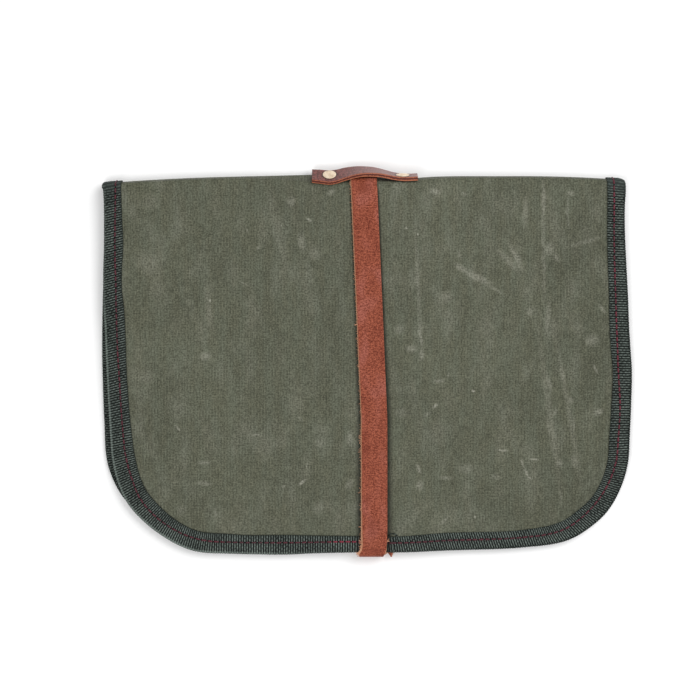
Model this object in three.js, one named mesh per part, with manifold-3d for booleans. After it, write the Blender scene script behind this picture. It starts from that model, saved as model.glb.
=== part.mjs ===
// A folded tool roll: one waxed canvas sheet doubled at a soft fold and bound all round with ribbed tape.
// A leather strap passes under a riveted leather keeper on the fold and wraps the whole roll.
// Millimetres, +Z up. The roll lies on its back half, with the fold towards +Y and the open edge towards -Y.

import * as THREE from "three";
import { mergeVertices } from "three/addons/utils/BufferGeometryUtils.js";
import Module from "manifold-3d";

// Driving dimensions

const GAP = 0.3; // clearance between pieces that touch on the real roll

const CANVAS = { wall: 1.2, leftReach: 169, rightReach: 166.5 }; // reach: middle line to bound side
const TAPE = { wall: 0.8, leg: 11.5 }; // leg: how far the folded tape reaches in over the canvas
const TAPE_HALF = CANVAS.wall / 2 + GAP + TAPE.wall; // half of a bound edge's thickness
const TAPE_STEP = TAPE_HALF - CANVAS.wall / 2; // how far the tape's face stands up from the canvas's
const CANVAS_INSET = TAPE.wall + 2 * GAP; // from the bound outline in to the canvas's own edge

// The two halves, measured from the crest of the fold.
// drop: to the open edge at its left corner; tilt: how much less it is at the right corner;
// belly: how far the open edge bows out; sway: how far the half has slid sideways at the open edge.
const FRONT = { drop: 243.4, tilt: 4, belly: 1, leftCorner: 70.5, rightCorner: 63, sway: 4 };
const BACK = { drop: 237, tilt: 3, belly: 0.8, leftCorner: 73.5, rightCorner: 66, sway: -1 };
const SWAY_LENGTH = 160; // from the fold to where a half has its whole sway
const FRONT_FALL = 1.6; // power of the curve by which the front half sinks from the fold to the open edge

// The fold turns through a front bend, a flat and a back bend.
// bend: both bends' radius; the crest droops at the two ends from where each droop starts.
const FOLD = { bend: 2.6, leftDroop: 4.6, leftDroopFrom: -60, rightDroop: 1, rightDroopFrom: 80 };
const FOLD_SECTIONS = [
  // tilt: the flat's angle away from facing up, in degrees; flat: its length round the fold;
  // setback: how far the crest is pulled in by the keeper
  { x: -169, tilt: 75, flat: 4, setback: 0 },
  { x: -75, tilt: 71, flat: 4.6, setback: 0 },
  { x: -24, tilt: 52, flat: 7.5, setback: -0.8 },
  { x: 0, tilt: 62, flat: 7.5, setback: 0 },
  { x: 24, tilt: 74, flat: 7.5, setback: 1.6 },
  { x: 46, tilt: 75, flat: 6, setback: 0.3 },
  { x: 90, tilt: 75, flat: 4.4, setback: 0 },
  { x: 169, tilt: 75, flat: 4, setback: 0 },
];

const STRAP = {
  width: 17.2,
  wall: 2,
  foldX: -1.6, // middle of the strap where it crosses the fold
  openX: 5.2, // middle of the front run at the open edge
  leanLength: 156, // from the fold to where the front run stops leaning
  rearX: 7.5, // middle of the rear run at the open edge
  turnReach: 2.2, // how far its middle layer stands out past the open edge
};
// The sewn lap behind the roll, where the strap's two ends overlap, measured from the crest of the fold.
// step: the length over which the inner end comes down to the floor; ease: over which the canvas does.
const LAP = { innerEnd: 66, outerEnd: 102, step: 14, ease: 26 };
// How far each edge of the strap moves sideways as it turns round the open edge, with a nick on the right.
const TURN_EDGES = [
  { angle: 0, left: 0, right: 0 },
  { angle: 50, left: -0.7, right: 0.1 },
  { angle: 90, left: -1.9, right: -2.3 },
  { angle: 125, left: -0.4, right: 3 },
  { angle: 180, left: 2.3, right: 2.3 },
];
// The ridge that the strap's rear run raises in the halves above it, by distance from the strap's middle.
// It steps up towards the bound edge, between two distances from the back half's open edge.
const RIDGE = { flat: 12, foot: 64, edgeStart: 46, edgeEnd: 23 };

const KEEPER = { left: -34.8, right: 33.2, width: 12.5, wall: 1.8, seat: 0.4 };
const KEEPER_ARCH = [
  // lift: how far the keeper stands off its seat, with the strap under the middle
  { x: -34.8, lift: 0 },
  { x: -19, lift: 0 },
  { x: -12, lift: 2.2 },
  { x: -4, lift: 3.6 },
  { x: 8, lift: 2.4 },
  { x: 20, lift: 0 },
  { x: 33.2, lift: 0 },
];

const RIVET = {
  x: 23.5, // from the middle of the keeper to each rivet
  capRadius: 4.6,
  capDome: 1.1,
  capRim: 0.5,
  postRadius: 1.7,
  backRadius: 3.1,
  backWall: 0.9,
  backGap: 0.6, // from the inside of the canvas to the back cap
};
// From the keeper's outer face to the inner face of a rivet's back cap
const RIVET_DEPTH = KEEPER.wall + KEEPER.seat + CANVAS.wall + RIVET.backGap;

// How finely the solids are faceted
const STEPS = {
  columns: 30,
  frontSide: 8,
  backSide: 13,
  corner: 8,
  bend: 4,
  flat: 2,
  openEdge: 14,
  strapFront: 11,
  strapRear: 5,
  strapTurn: 14,
  keeper: 28,
  rivet: 16,
  dome: 4,
  hole: 12,
};

// Small maths

const { clamp, degToRad, lerp, radToDeg, smoothstep } = THREE.MathUtils;

/** A smooth curve through one column of a table. */
function curveThrough(table, key, column) {
  const places = table.map((row) => row[key]);
  const values = table.map((row) => row[column]);
  const spline = new THREE.CubicInterpolant(places, values, 1);
  return (at) => spline.evaluate(at)[0];
}

const foldTilt = curveThrough(FOLD_SECTIONS, "x", "tilt");
const foldFlat = curveThrough(FOLD_SECTIONS, "x", "flat");
const foldSetback = curveThrough(FOLD_SECTIONS, "x", "setback");
const keeperLift = curveThrough(KEEPER_ARCH, "x", "lift");
const turnLeft = curveThrough(TURN_EDGES, "angle", "left");
const turnRight = curveThrough(TURN_EDGES, "angle", "right");

/** Evenly spaced fractions from just after 0 up to 1. */
function fractions(count) {
  return Array.from({ length: count }, (_, i) => (i + 1) / count);
}

// Heights of the two halves

/** The middle of the strap's front run, at a distance from the crest of the fold. */
function frontStrapX(s) {
  return lerp(STRAP.foldX, STRAP.openX, clamp(s / STRAP.leanLength, 0, 1));
}

/** The middle of the strap's rear run. */
function rearStrapX(s) {
  return lerp(STRAP.foldX, STRAP.rearX, clamp(s / FRONT.drop, 0, 1));
}

/** How far the rear run of the strap lifts the back half: more over its lap and under the bound edge. */
function strapLift(x, s) {
  const sideways = Math.abs(x - rearStrapX(s));
  const ridge = 1 - smoothstep(sideways, RIDGE.flat, RIDGE.foot);
  const panel = STRAP.wall + GAP + CANVAS.wall / 2 - TAPE_HALF;
  const lapStart = smoothstep(s, LAP.innerEnd - LAP.step - LAP.ease, LAP.innerEnd - LAP.step);
  const lapEnd = 1 - smoothstep(s, LAP.outerEnd + LAP.step, LAP.outerEnd + LAP.step + LAP.ease);
  const lap = (STRAP.wall + GAP) * lapStart * lapEnd;
  const edge = TAPE_STEP * smoothstep(s, BACK.drop - RIDGE.edgeStart, BACK.drop - RIDGE.edgeEnd);
  return ridge * (panel + lap + edge);
}

function backHeight(x, s) {
  return TAPE_HALF + strapLift(x, s);
}

/** The front half's height at its open edge, where its bound edge lies on the back one. */
function openEdgeHeight(x) {
  return backHeight(x, BACK.drop) + 2 * TAPE_HALF + GAP;
}

/** How far the crest of the fold is set back towards the open edge. */
function crestSetback(x) {
  const left = clamp((x - FOLD.leftDroopFrom) / (-CANVAS.leftReach - FOLD.leftDroopFrom), 0, 1);
  const right = clamp((x - FOLD.rightDroopFrom) / (CANVAS.rightReach - FOLD.rightDroopFrom), 0, 1);
  return foldSetback(x) + FOLD.leftDroop * left ** 2 + FOLD.rightDroop * right ** 2;
}

/** The fold's cross-section at x: where its two bends and its flat start and end. */
function foldSection(x) {
  const tilt = degToRad(foldTilt(x));
  const flat = foldFlat(x);
  const bottom = backHeight(x, 0);
  const top = bottom + FOLD.bend * 2 + flat * Math.sin(tilt);
  const lean = -Math.atan((FRONT_FALL * (top - openEdgeHeight(x))) / FRONT.drop);
  const topZ = top + FOLD.bend * (Math.cos(lean) - 1);
  const topS = crestSetback(x) + FOLD.bend * (1 - Math.sin(lean)) + flat * Math.cos(tilt);
  const backS = crestSetback(x) + FOLD.bend;
  return { tilt, flat, lean, topZ, topS, backS };
}

function frontHeight(x, s) {
  const { topZ, topS } = foldSection(x);
  const sunk = clamp((s - topS) / (FRONT.drop - topS), 0, 1);
  const open = openEdgeHeight(x);
  return open + (topZ - open) * (1 - sunk) ** FRONT_FALL;
}

// Places on the sheet and the surface they map to

/** A point of the fold: turn is 0 to 1 over the front bend, to 2 over the flat and to 3 over the back bend. */
function foldPoint(x, turn) {
  const { tilt, flat, lean, topZ, topS } = foldSection(x);
  const front = lerp(lean, tilt, clamp(turn, 0, 1));
  const straight = flat * clamp(turn - 1, 0, 1);
  const back = lerp(tilt, Math.PI, clamp(turn - 2, 0, 1));
  const round = (trig) => FOLD.bend * (trig(front) - trig(lean) + trig(back) - trig(tilt));
  const angle = turn < 2 ? front : back;
  return {
    point: new THREE.Vector3(
      x,
      round(Math.sin) + straight * Math.cos(tilt) - topS,
      round(Math.cos) - straight * Math.sin(tilt) + topZ,
    ),
    normal: new THREE.Vector3(0, Math.sin(angle), Math.cos(angle)),
  };
}

/** A point of the front half (side +1) or the back half (side -1), with its outward normal. */
function halfPoint(side, x, s) {
  const height = side > 0 ? frontHeight : backHeight;
  const slopeX = height(x + 1, s) - height(x, s);
  const slopeS = height(x, s + 1) - height(x, s);
  return {
    point: new THREE.Vector3(x, -s, height(x, s)),
    normal: new THREE.Vector3(-slopeX, slopeS, 1).normalize().multiplyScalar(side),
  };
}

/** The surface at a place: { side, x, s } on a half or { side: 0, x, turn } on the fold. */
function surface(place) {
  return place.side === 0 ? foldPoint(place.x, place.turn) : halfPoint(place.side, place.x, place.s);
}

// The rows of the sheet, each from its left edge to its right edge

/** The x of a half's left (-1) or right (+1) edge at a distance from the fold, moved in by an inset. */
function sideX(half, edge, s, inset) {
  const reach = edge < 0 ? CANVAS.leftReach : CANVAS.rightReach;
  return edge * (reach - inset) + half.sway * smoothstep(s, 0, SWAY_LENGTH);
}

/** One end of a half's row: down the straight side by a fraction, then round the corner by an angle. */
function rowEnd(half, side, edge, row, inset) {
  const radius = edge < 0 ? half.leftCorner : half.rightCorner;
  const drop = half.drop - (edge < 0 ? 0 : half.tilt);
  const cornerS = drop - radius;
  const { topS, backS } = foldSection(sideX(half, edge, 0, inset));
  const s = lerp(side > 0 ? topS : backS, cornerS, row.down);
  const arc = radius - inset;
  return {
    x: sideX(half, edge, s, inset) - edge * arc * (1 - Math.cos(row.angle)),
    s: s + arc * Math.sin(row.angle),
  };
}

/** The rows of one half, from the fold to the open edge. */
function halfRows(side) {
  const half = side > 0 ? FRONT : BACK;
  const steps = side > 0 ? STEPS.frontSide : STEPS.backSide;
  const straight = fractions(steps).map((down) => ({ down, angle: 0 }));
  const corner = fractions(STEPS.corner).map((part) => ({ down: 1, angle: (part * Math.PI) / 2 }));
  return [...straight, ...corner].map((row) => (across, inset) => {
    const left = rowEnd(half, side, -1, row, inset);
    const right = rowEnd(half, side, 1, row, inset);
    const bow = half.belly * Math.sin(row.angle) * (1 - (2 * across - 1) ** 2);
    return { side, x: lerp(left.x, right.x, across), s: lerp(left.s, right.s, across) + bow };
  });
}

/** The rows of the fold, from the front half to the back half. */
function foldRows() {
  const turns = [
    0,
    ...fractions(STEPS.bend),
    ...fractions(STEPS.flat).map((part) => 1 + part),
    ...fractions(STEPS.bend).map((part) => 2 + part),
  ];
  return turns.map((turn) => (across, inset) => {
    const x = lerp(sideX(FRONT, -1, 0, inset), sideX(FRONT, 1, 0, inset), across);
    return { side: 0, x, turn };
  });
}

const SHEET_ROWS = [...halfRows(1).reverse(), ...foldRows(), ...halfRows(-1)];

// Solids from points

/** A geometry from a list of points and the triangles between them. */
function geometryOf(points, triangles) {
  const geometry = new THREE.BufferGeometry().setFromPoints(points);
  geometry.setIndex(triangles);
  geometry.computeVertexNormals();
  return geometry;
}

/** A closed solid swept through sections with equal numbers of points, as a ring or with flat ends. */
function sweep(sections, ring) {
  const size = sections[0].length;
  const triangles = [];
  const spans = ring ? sections.length : sections.length - 1;
  for (let i = 0; i < spans; i++) {
    const here = i * size;
    const next = ((i + 1) % sections.length) * size;
    for (let j = 0; j < size; j++) {
      const k = (j + 1) % size;
      triangles.push(here + j, here + k, next + k, here + j, next + k, next + j);
    }
  }
  if (!ring) {
    const end = (sections.length - 1) * size;
    for (let j = 1; j < size - 1; j++) triangles.push(0, j + 1, j, end, end + j, end + j + 1);
  }
  return geometryOf(sections.flat(), triangles);
}

/** A wall of even thickness about a grid of surface points. */
function wallAbout(grid, wall) {
  const columns = grid[0].length;
  const face = (amount) => grid.flat().map(({ point, normal }) => point.clone().addScaledVector(normal, amount));
  const points = [...face(wall / 2), ...face(-wall / 2)];
  const under = grid.length * columns;
  const triangles = [];
  for (let i = 0; i < grid.length - 1; i++) {
    for (let j = 0; j < columns - 1; j++) {
      const a = i * columns + j;
      const [b, c, d] = [a + 1, a + columns + 1, a + columns];
      triangles.push(a, b, c, a, c, d);
      triangles.push(under + a, under + c, under + b, under + a, under + d, under + c);
    }
  }
  for (const [a, b] of rimOf(grid.length, columns)) {
    triangles.push(a, under + a, under + b, a, under + b, b);
  }
  return geometryOf(points, triangles);
}

/** The edges round a grid, in order. */
function rimOf(rows, columns) {
  const last = (rows - 1) * columns;
  const rim = [];
  for (let j = 0; j < columns - 1; j++) rim.push([j, j + 1]);
  for (let i = 0; i < rows - 1; i++) rim.push([(i + 1) * columns - 1, (i + 2) * columns - 1]);
  for (let j = columns - 1; j > 0; j--) rim.push([last + j, last + j - 1]);
  for (let i = rows - 1; i > 0; i--) rim.push([i * columns, (i - 1) * columns]);
  return rim;
}

// Boolean cuts

const wasm = await Module();
wasm.setup();

function toSolid(geometry) {
  const bare = geometry.clone().deleteAttribute("normal");
  bare.deleteAttribute("uv");
  const merged = mergeVertices(bare);
  const vertProperties = new Float32Array(merged.attributes.position.array);
  const triVerts = new Uint32Array(merged.index.array);
  return new wasm.Manifold(new wasm.Mesh({ numProp: 3, vertProperties, triVerts }));
}

function toGeometry(solid) {
  const mesh = solid.getMesh();
  const geometry = new THREE.BufferGeometry();
  geometry.setAttribute("position", new THREE.BufferAttribute(new Float32Array(mesh.vertProperties), 3));
  geometry.setIndex(new THREE.BufferAttribute(new Uint32Array(mesh.triVerts), 1));
  geometry.computeVertexNormals();
  return geometry;
}

/** The geometry with a hole bored through it at each rivet. */
function withRivetHoles(geometry) {
  const radius = RIVET.postRadius + GAP;
  const bore = new THREE.CylinderGeometry(radius, radius, 2 * RIVET_DEPTH, STEPS.hole);
  let solid = toSolid(geometry);
  for (const seat of rivetSeats()) {
    const cutter = bore.clone().applyQuaternion(seat.turn).translate(...seat.point.toArray());
    solid = solid.subtract(toSolid(cutter));
  }
  return toGeometry(solid);
}

// The pieces

/** The waxed canvas: front half, fold and back half in one wall. */
function canvasSheet() {
  const columns = [0, ...fractions(STEPS.columns)];
  const grid = SHEET_ROWS.map((row) => columns.map((across) => surface(row(across, CANVAS_INSET))));
  return withRivetHoles(wallAbout(grid, CANVAS.wall));
}

/** Stops round the bound outline: the right side, the back's open edge, the left side, the front's open edge. */
function outlineStops() {
  const rows = SHEET_ROWS.length;
  const between = fractions(STEPS.openEdge).slice(0, -1);
  const right = SHEET_ROWS.map((_, i) => ({ row: i, across: 1 }));
  const backEdge = between.map((across) => ({ row: rows - 1, across: 1 - across }));
  const left = SHEET_ROWS.map((_, i) => ({ row: rows - 1 - i, across: 0 }));
  const frontEdge = between.map((across) => ({ row: 0, across }));
  return [...right, ...backEdge, ...left, ...frontEdge];
}

/** The tape's U section: distance in from the outline, and height off the sheet's middle. */
function tapeSection() {
  const outer = TAPE_HALF;
  const inner = TAPE_HALF - TAPE.wall;
  const round = TAPE.wall;
  const leg = TAPE.leg;
  const upper = [
    [leg, inner],
    [leg, outer],
    [leg / 2, outer],
    [round, outer],
    [0, inner],
  ];
  const lower = upper.map(([inset, height]) => [inset, -height]).reverse();
  const inside = [
    [leg / 2, -inner],
    [TAPE.wall, -inner],
    [TAPE.wall, inner],
    [leg / 2, inner],
  ];
  return [...upper, ...lower, ...inside];
}

/** The binding: one tape folded over the sheet's edge all the way round. */
function edgeBinding() {
  const section = tapeSection();
  const sections = outlineStops().map(({ row, across }) =>
    section.map(([inset, height]) => {
      const { point, normal } = surface(SHEET_ROWS[row](across, inset));
      return point.addScaledVector(normal, height);
    }),
  );
  return sweep(sections, true);
}

/** A strap section between two x values: at gives the middle of its wall and its outward normal. */
function strapSection(left, right, at) {
  const corner = (x, height) => {
    const { point, normal } = at(x);
    return point.clone().addScaledVector(normal, height);
  };
  const half = STRAP.wall / 2;
  return [corner(left, half), corner(right, half), corner(right, -half), corner(left, -half)];
}

/** A sampler of the middle of the strap's wall where it lies on the canvas, lifted by a step. */
function laidOn(step, sample) {
  const offset = CANVAS.wall / 2 + GAP + step + STRAP.wall / 2;
  return (x) => {
    const { point, normal } = sample(x);
    return { point: point.addScaledVector(normal, offset), normal };
  };
}

function evenSection(middle, at) {
  return strapSection(middle - STRAP.width / 2, middle + STRAP.width / 2, at);
}

/** The front half's open edge, in distance from the crest, where the strap turns round it. */
function openEdgeAtStrap() {
  return FRONT.drop - FRONT.tilt / 2 + FRONT.belly;
}

/** The strap's rear run at a distance from the crest and a height over the floor. */
function rearSection(s, height) {
  const at = (x) => ({ point: new THREE.Vector3(x, -s, height), normal: new THREE.Vector3(0, 0, -1) });
  return evenSection(rearStrapX(s), at);
}

/** The strap turning from the rear run to the front run round the open edge. */
function turnSections() {
  const edge = openEdgeAtStrap();
  const top = openEdgeHeight(STRAP.openX) + TAPE_HALF + GAP + STRAP.wall / 2;
  const bottom = STRAP.wall / 2;
  const [middle, reach] = [(top + bottom) / 2, (top - bottom) / 2];
  const parts = fractions(STEPS.strapTurn).slice(0, -1).reverse();
  return parts.map((part) => {
    const angle = part * Math.PI;
    const [out, up] = [Math.sin(angle), Math.cos(angle)];
    const normal = new THREE.Vector3(0, -out / STRAP.turnReach, up / reach).normalize();
    const at = (x) => ({
      point: new THREE.Vector3(x, -edge - STRAP.turnReach * out, middle + reach * up),
      normal,
    });
    const half = STRAP.width / 2;
    const left = STRAP.openX - half + turnLeft(radToDeg(angle));
    const right = STRAP.openX + half + turnRight(radToDeg(angle));
    return strapSection(left, right, at);
  });
}

/** The strap's front run, from the open edge, where it lies on the tape, up to the fold. */
function frontSections() {
  const edge = openEdgeAtStrap();
  const onTape = edge - TAPE.leg - GAP;
  const offTape = onTape - TAPE.leg;
  const { topS } = foldSection(STRAP.foldX);
  const stops = [edge, onTape, offTape, ...fractions(STEPS.strapFront).map((part) => lerp(offTape, topS, part))];
  return stops.map((s) => {
    const overTape = TAPE_STEP * smoothstep(s, offTape, onTape);
    return evenSection(frontStrapX(s), laidOn(overTape, (x) => halfPoint(1, x, s)));
  });
}

/** The strap over the fold, under the keeper. */
function foldSections() {
  const bends = fractions(STEPS.bend);
  const turns = [...bends, 2, ...bends.map((part) => 2 + part)];
  return turns.map((turn) => evenSection(STRAP.foldX, laidOn(0, (x) => foldPoint(x, turn))));
}

/** The strap: from its inner end behind the roll, round the open edge, up the front and over the fold. */
function strap() {
  const onFloor = STRAP.wall / 2;
  const onOuterEnd = onFloor + STRAP.wall + GAP;
  const down = LAP.outerEnd + LAP.step;
  const rears = fractions(STEPS.strapRear);
  const { backS } = foldSection(STRAP.foldX);
  return sweep(
    [
      rearSection(LAP.innerEnd, onOuterEnd),
      rearSection(LAP.outerEnd + GAP, onOuterEnd),
      rearSection(down, onFloor),
      ...rears.map((part) => rearSection(lerp(down, openEdgeAtStrap(), part), onFloor)),
      ...turnSections(),
      ...frontSections(),
      ...foldSections(),
      ...rears.map((part) => rearSection(lerp(backS, LAP.outerEnd, part), onFloor)),
    ],
    false,
  );
}

/** The middle of the keeper's seat, which is the middle of the fold's flat, at x. */
function keeperSeat(x) {
  const middleOfFlat = 1.5;
  return foldPoint(x, middleOfFlat);
}

/** The keeper: a leather tab lying along the fold, arched over the strap. */
function strapKeeper() {
  const sections = [0, ...fractions(STEPS.keeper)].map((part) => {
    const x = lerp(KEEPER.left, KEEPER.right, part);
    const { point, normal } = keeperSeat(x);
    const over = new THREE.Vector3(0, normal.z, -normal.y);
    const lift = CANVAS.wall / 2 + KEEPER.seat + keeperLift(x);
    const corner = (side, height) =>
      point
        .clone()
        .addScaledVector(over, (side * KEEPER.width) / 2)
        .addScaledVector(normal, lift + height);
    return [corner(-1, KEEPER.wall), corner(-1, 0), corner(1, 0), corner(1, KEEPER.wall)];
  });
  return withRivetHoles(sweep(sections, false));
}

/** Where the two rivets pierce the keeper: a point on its outer face, and the turn from +Y to its normal. */
function rivetSeats() {
  return [-RIVET.x, RIVET.x].map((x) => {
    const { point, normal } = keeperSeat(x);
    point.addScaledVector(normal, CANVAS.wall / 2 + KEEPER.seat + KEEPER.wall);
    return { point, turn: new THREE.Quaternion().setFromUnitVectors(new THREE.Vector3(0, 1, 0), normal) };
  });
}

/** A rivet: a domed cap, a post through leather and canvas, and a flat back cap inside the fold. */
function rivet() {
  const rim = GAP + RIVET.capRim;
  const dome = [1, ...fractions(STEPS.dome).map((part) => 1 - part)].map((part) => {
    const angle = (part * Math.PI) / 2;
    return new THREE.Vector2(RIVET.capRadius * Math.sin(angle), rim + RIVET.capDome * Math.cos(angle));
  });
  const profile = [
    new THREE.Vector2(0, -RIVET_DEPTH - RIVET.backWall),
    new THREE.Vector2(RIVET.backRadius, -RIVET_DEPTH - RIVET.backWall),
    new THREE.Vector2(RIVET.backRadius, -RIVET_DEPTH),
    new THREE.Vector2(RIVET.postRadius, -RIVET_DEPTH),
    new THREE.Vector2(RIVET.postRadius, GAP),
    new THREE.Vector2(RIVET.capRadius, GAP),
    ...dome,
  ];
  return new THREE.LatheGeometry(profile, STEPS.rivet);
}

// Materials and the assembled roll

const MATERIALS = {
  canvas: new THREE.MeshStandardMaterial({ color: "#61645a", roughness: 0.85, metalness: 0 }),
  tape: new THREE.MeshStandardMaterial({ color: "#2f3a35", roughness: 0.8, metalness: 0 }),
  strapLeather: new THREE.MeshStandardMaterial({ color: "#94523f", roughness: 0.6, metalness: 0 }),
  keeperLeather: new THREE.MeshStandardMaterial({ color: "#6b4640", roughness: 0.5, metalness: 0 }),
  brass: new THREE.MeshStandardMaterial({ color: "#e0cba8", roughness: 0.3, metalness: 1 }),
};

function named(name, geometry, material) {
  const mesh = new THREE.Mesh(geometry, material);
  mesh.name = name;
  return mesh;
}

function rivets() {
  return rivetSeats().map((seat, i) => {
    const mesh = named(["rivet_left", "rivet_right"][i], rivet(), MATERIALS.brass);
    mesh.position.copy(seat.point);
    mesh.quaternion.copy(seat.turn);
    return mesh;
  });
}

const roll = new THREE.Group();
roll.add(
  named("canvas_sheet", canvasSheet(), MATERIALS.canvas),
  named("edge_binding", edgeBinding(), MATERIALS.tape),
  named("strap", strap(), MATERIALS.strapLeather),
  named("strap_keeper", strapKeeper(), MATERIALS.keeperLeather),
  ...rivets(),
);

// The origin is the middle of the roll's footprint, on the surface that it lies on.
const box = new THREE.Box3().setFromObject(roll, true);
const middle = box.getCenter(new THREE.Vector3());
roll.children.forEach((mesh) => mesh.position.sub(new THREE.Vector3(middle.x, middle.y, box.min.z)));

const toolRoll = new THREE.Group();
toolRoll.add(roll);

export default toolRoll;
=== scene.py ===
"""Looks of a folded tool roll: waxed canvas bound with ribbed tape, held shut by a leather strap.

Sizes are in metres. The form is laid out in its own coordinates: x from the middle of the keeper, s down
from the crest of the fold to the open edge, z up. RollForm.settle moves points into the model's frame.
"""

import logging
from collections.abc import Callable, Iterable
from dataclasses import dataclass
from enum import Enum
from functools import partial
from typing import NamedTuple

import bpy
import numpy as np
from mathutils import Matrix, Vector


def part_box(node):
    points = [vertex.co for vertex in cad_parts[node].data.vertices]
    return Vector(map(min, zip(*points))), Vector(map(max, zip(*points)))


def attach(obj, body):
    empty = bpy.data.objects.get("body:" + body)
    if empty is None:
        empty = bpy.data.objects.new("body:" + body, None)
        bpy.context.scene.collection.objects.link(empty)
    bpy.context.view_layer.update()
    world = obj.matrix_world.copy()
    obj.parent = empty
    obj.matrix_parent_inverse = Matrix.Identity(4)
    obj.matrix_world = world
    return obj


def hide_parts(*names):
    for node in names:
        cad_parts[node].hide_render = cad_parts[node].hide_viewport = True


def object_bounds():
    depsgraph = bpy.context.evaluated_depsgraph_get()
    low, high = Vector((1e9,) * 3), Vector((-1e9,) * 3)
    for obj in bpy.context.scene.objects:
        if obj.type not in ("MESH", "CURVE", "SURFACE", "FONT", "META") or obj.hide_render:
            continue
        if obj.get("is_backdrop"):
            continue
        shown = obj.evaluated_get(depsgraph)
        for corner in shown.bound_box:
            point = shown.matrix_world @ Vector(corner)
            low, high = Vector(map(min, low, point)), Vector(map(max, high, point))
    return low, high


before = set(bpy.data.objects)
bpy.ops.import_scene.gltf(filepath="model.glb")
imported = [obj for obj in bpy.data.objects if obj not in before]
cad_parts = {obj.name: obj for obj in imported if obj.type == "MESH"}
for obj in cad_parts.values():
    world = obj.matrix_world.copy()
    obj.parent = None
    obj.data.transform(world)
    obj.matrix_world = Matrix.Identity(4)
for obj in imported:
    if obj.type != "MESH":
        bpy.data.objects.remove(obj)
CAD_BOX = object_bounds()

MM = 0.001
LOG = logging.getLogger("tool_roll")

Array = np.ndarray
Value = float | Array
Triple = tuple[float, float, float]
Colour = tuple[float, float, float, float]
Faces = list[tuple[int, ...]]
Piece = bpy.types.Object
Material = bpy.types.Material


# Small maths


def smoothstep(value: Value, low: float, high: float) -> Value:
    """Eases from 0 at low to 1 at high."""
    part = np.clip((value - low) / (high - low), 0.0, 1.0)
    return part * part * (3.0 - 2.0 * part)


def lerp(start: Value, end: Value, part: Value) -> Value:
    """Goes straight from start to end."""
    return start + (end - start) * part


def stack(x: Value, y: Value, z: Value) -> Array:
    """Joins three coordinates, spread to one shape, into vectors."""
    return np.stack(np.broadcast_arrays(np.asarray(x, float), y, z), axis=-1)


def unit(vectors: Array) -> Array:
    """Scales vectors to length 1."""
    return vectors / np.linalg.norm(vectors, axis=-1, keepdims=True)


def lengths_along(points: Array) -> Array:
    """Gives the distance from the first point to each point of a path."""
    return np.concatenate(([0.0], np.cumsum(np.linalg.norm(np.diff(points, axis=0), axis=1))))


def srgb(red: int, green: int, blue: int) -> Colour:
    """Turns a screen colour of 0 to 255 into a linear one."""
    parts = np.array((red, green, blue)) / 255.0
    linear = np.where(parts <= 0.04045, parts / 12.92, ((parts + 0.055) / 1.055) ** 2.4)
    return (*linear.tolist(), 1.0)


def on_path(values: Array, along: Array, at: Array) -> Array:
    """Gives vectors at distances along a path, from the vectors at its points."""
    return np.stack([np.interp(at, along, values[:, i]) for i in range(3)], axis=1)


def charted(rows: tuple, column: str, at: Value) -> Array:
    """Reads a smooth curve through one column of a short table, level past both ends.

    Args:
        rows: The table, whose first column says where its rows stand.
        column: The column's name.
        at: One place or an array of them.

    Returns:
        The values there.
    """
    places = np.array([row[0] for row in rows])
    values = np.array([getattr(row, column) for row in rows])
    secants = np.diff(values) / np.diff(places)
    slopes = np.concatenate((secants[:1], (secants[1:] + secants[:-1]) / 2, secants[-1:]))
    at = np.clip(np.asarray(at, float), places[0], places[-1])
    i = np.clip(np.searchsorted(places, at) - 1, 0, len(secants) - 1)
    span = places[i + 1] - places[i]
    part = (at - places[i]) / span
    rise = values[i + 1] - values[i]
    bend = (slopes[i] * span - rise) * (1 - part) - (slopes[i + 1] * span - rise) * part
    return values[i] + rise * part + bend * part * (1 - part)


# The form that every piece is laid on


class FoldSection(NamedTuple):
    """The fold's cross-section at x: the lean of its flat, the flat's length and how far it stands back."""

    x: float
    tilt: float
    flat: float
    setback: float


FOLD_SECTIONS = tuple(FoldSection(x * MM, tilt, flat * MM, setback * MM) for x, tilt, flat, setback in (
    (-169, 75, 4.0, 0.0), (-75, 71, 4.6, 0.0), (-24, 52, 7.5, -0.8), (0, 62, 7.5, 0.0),
    (24, 74, 7.5, 1.6), (46, 75, 6.0, 0.3), (90, 75, 4.4, 0.0), (169, 75, 4.0, 0.0),
))


class Dent(NamedTuple):
    """A long shallow wave of the front half: wavelengths across and down, phase in turns, and height."""

    across: float
    down: float
    phase: float
    height: float


DENTS = tuple(Dent(across * MM, down * MM, phase, height * MM) for across, down, phase, height in (
    (210, 150, 0.15, 0.35), (-120, 190, 0.60, 0.25), (75, -320, 0.35, 0.15),
))


@dataclass(frozen=True)
class Half:
    """One half of the folded sheet."""

    side: int  # +1 for the front half, on top, and -1 for the back half
    drop: float  # from the crest of the fold to the open edge, at the left
    tilt: float  # how much shorter it is at the right
    belly: float  # how far the open edge bows out between its corners
    left_corner: float  # the corners' radii
    right_corner: float
    sway: float  # how far the half has slid to the right, away from the fold


FRONT = Half(1, 243.4 * MM, 4 * MM, 1.0 * MM, 70.5 * MM, 63 * MM, 4 * MM)
BACK = Half(-1, 237.0 * MM, 3 * MM, 0.8 * MM, 73.5 * MM, 66 * MM, -1 * MM)


class Row(NamedTuple):
    """One row of the sheet, from its left edge to its right edge.

    On a half it ends down the straight sides by a share, then round the corners by an angle. On the fold,
    where half is None, turn is 0 to 1 over the front bend, to 2 over the flat and to 3 over the back bend.
    """

    half: Half | None
    down: float = 0.0
    angle: float = 0.0
    turn: float = 0.0


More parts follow.
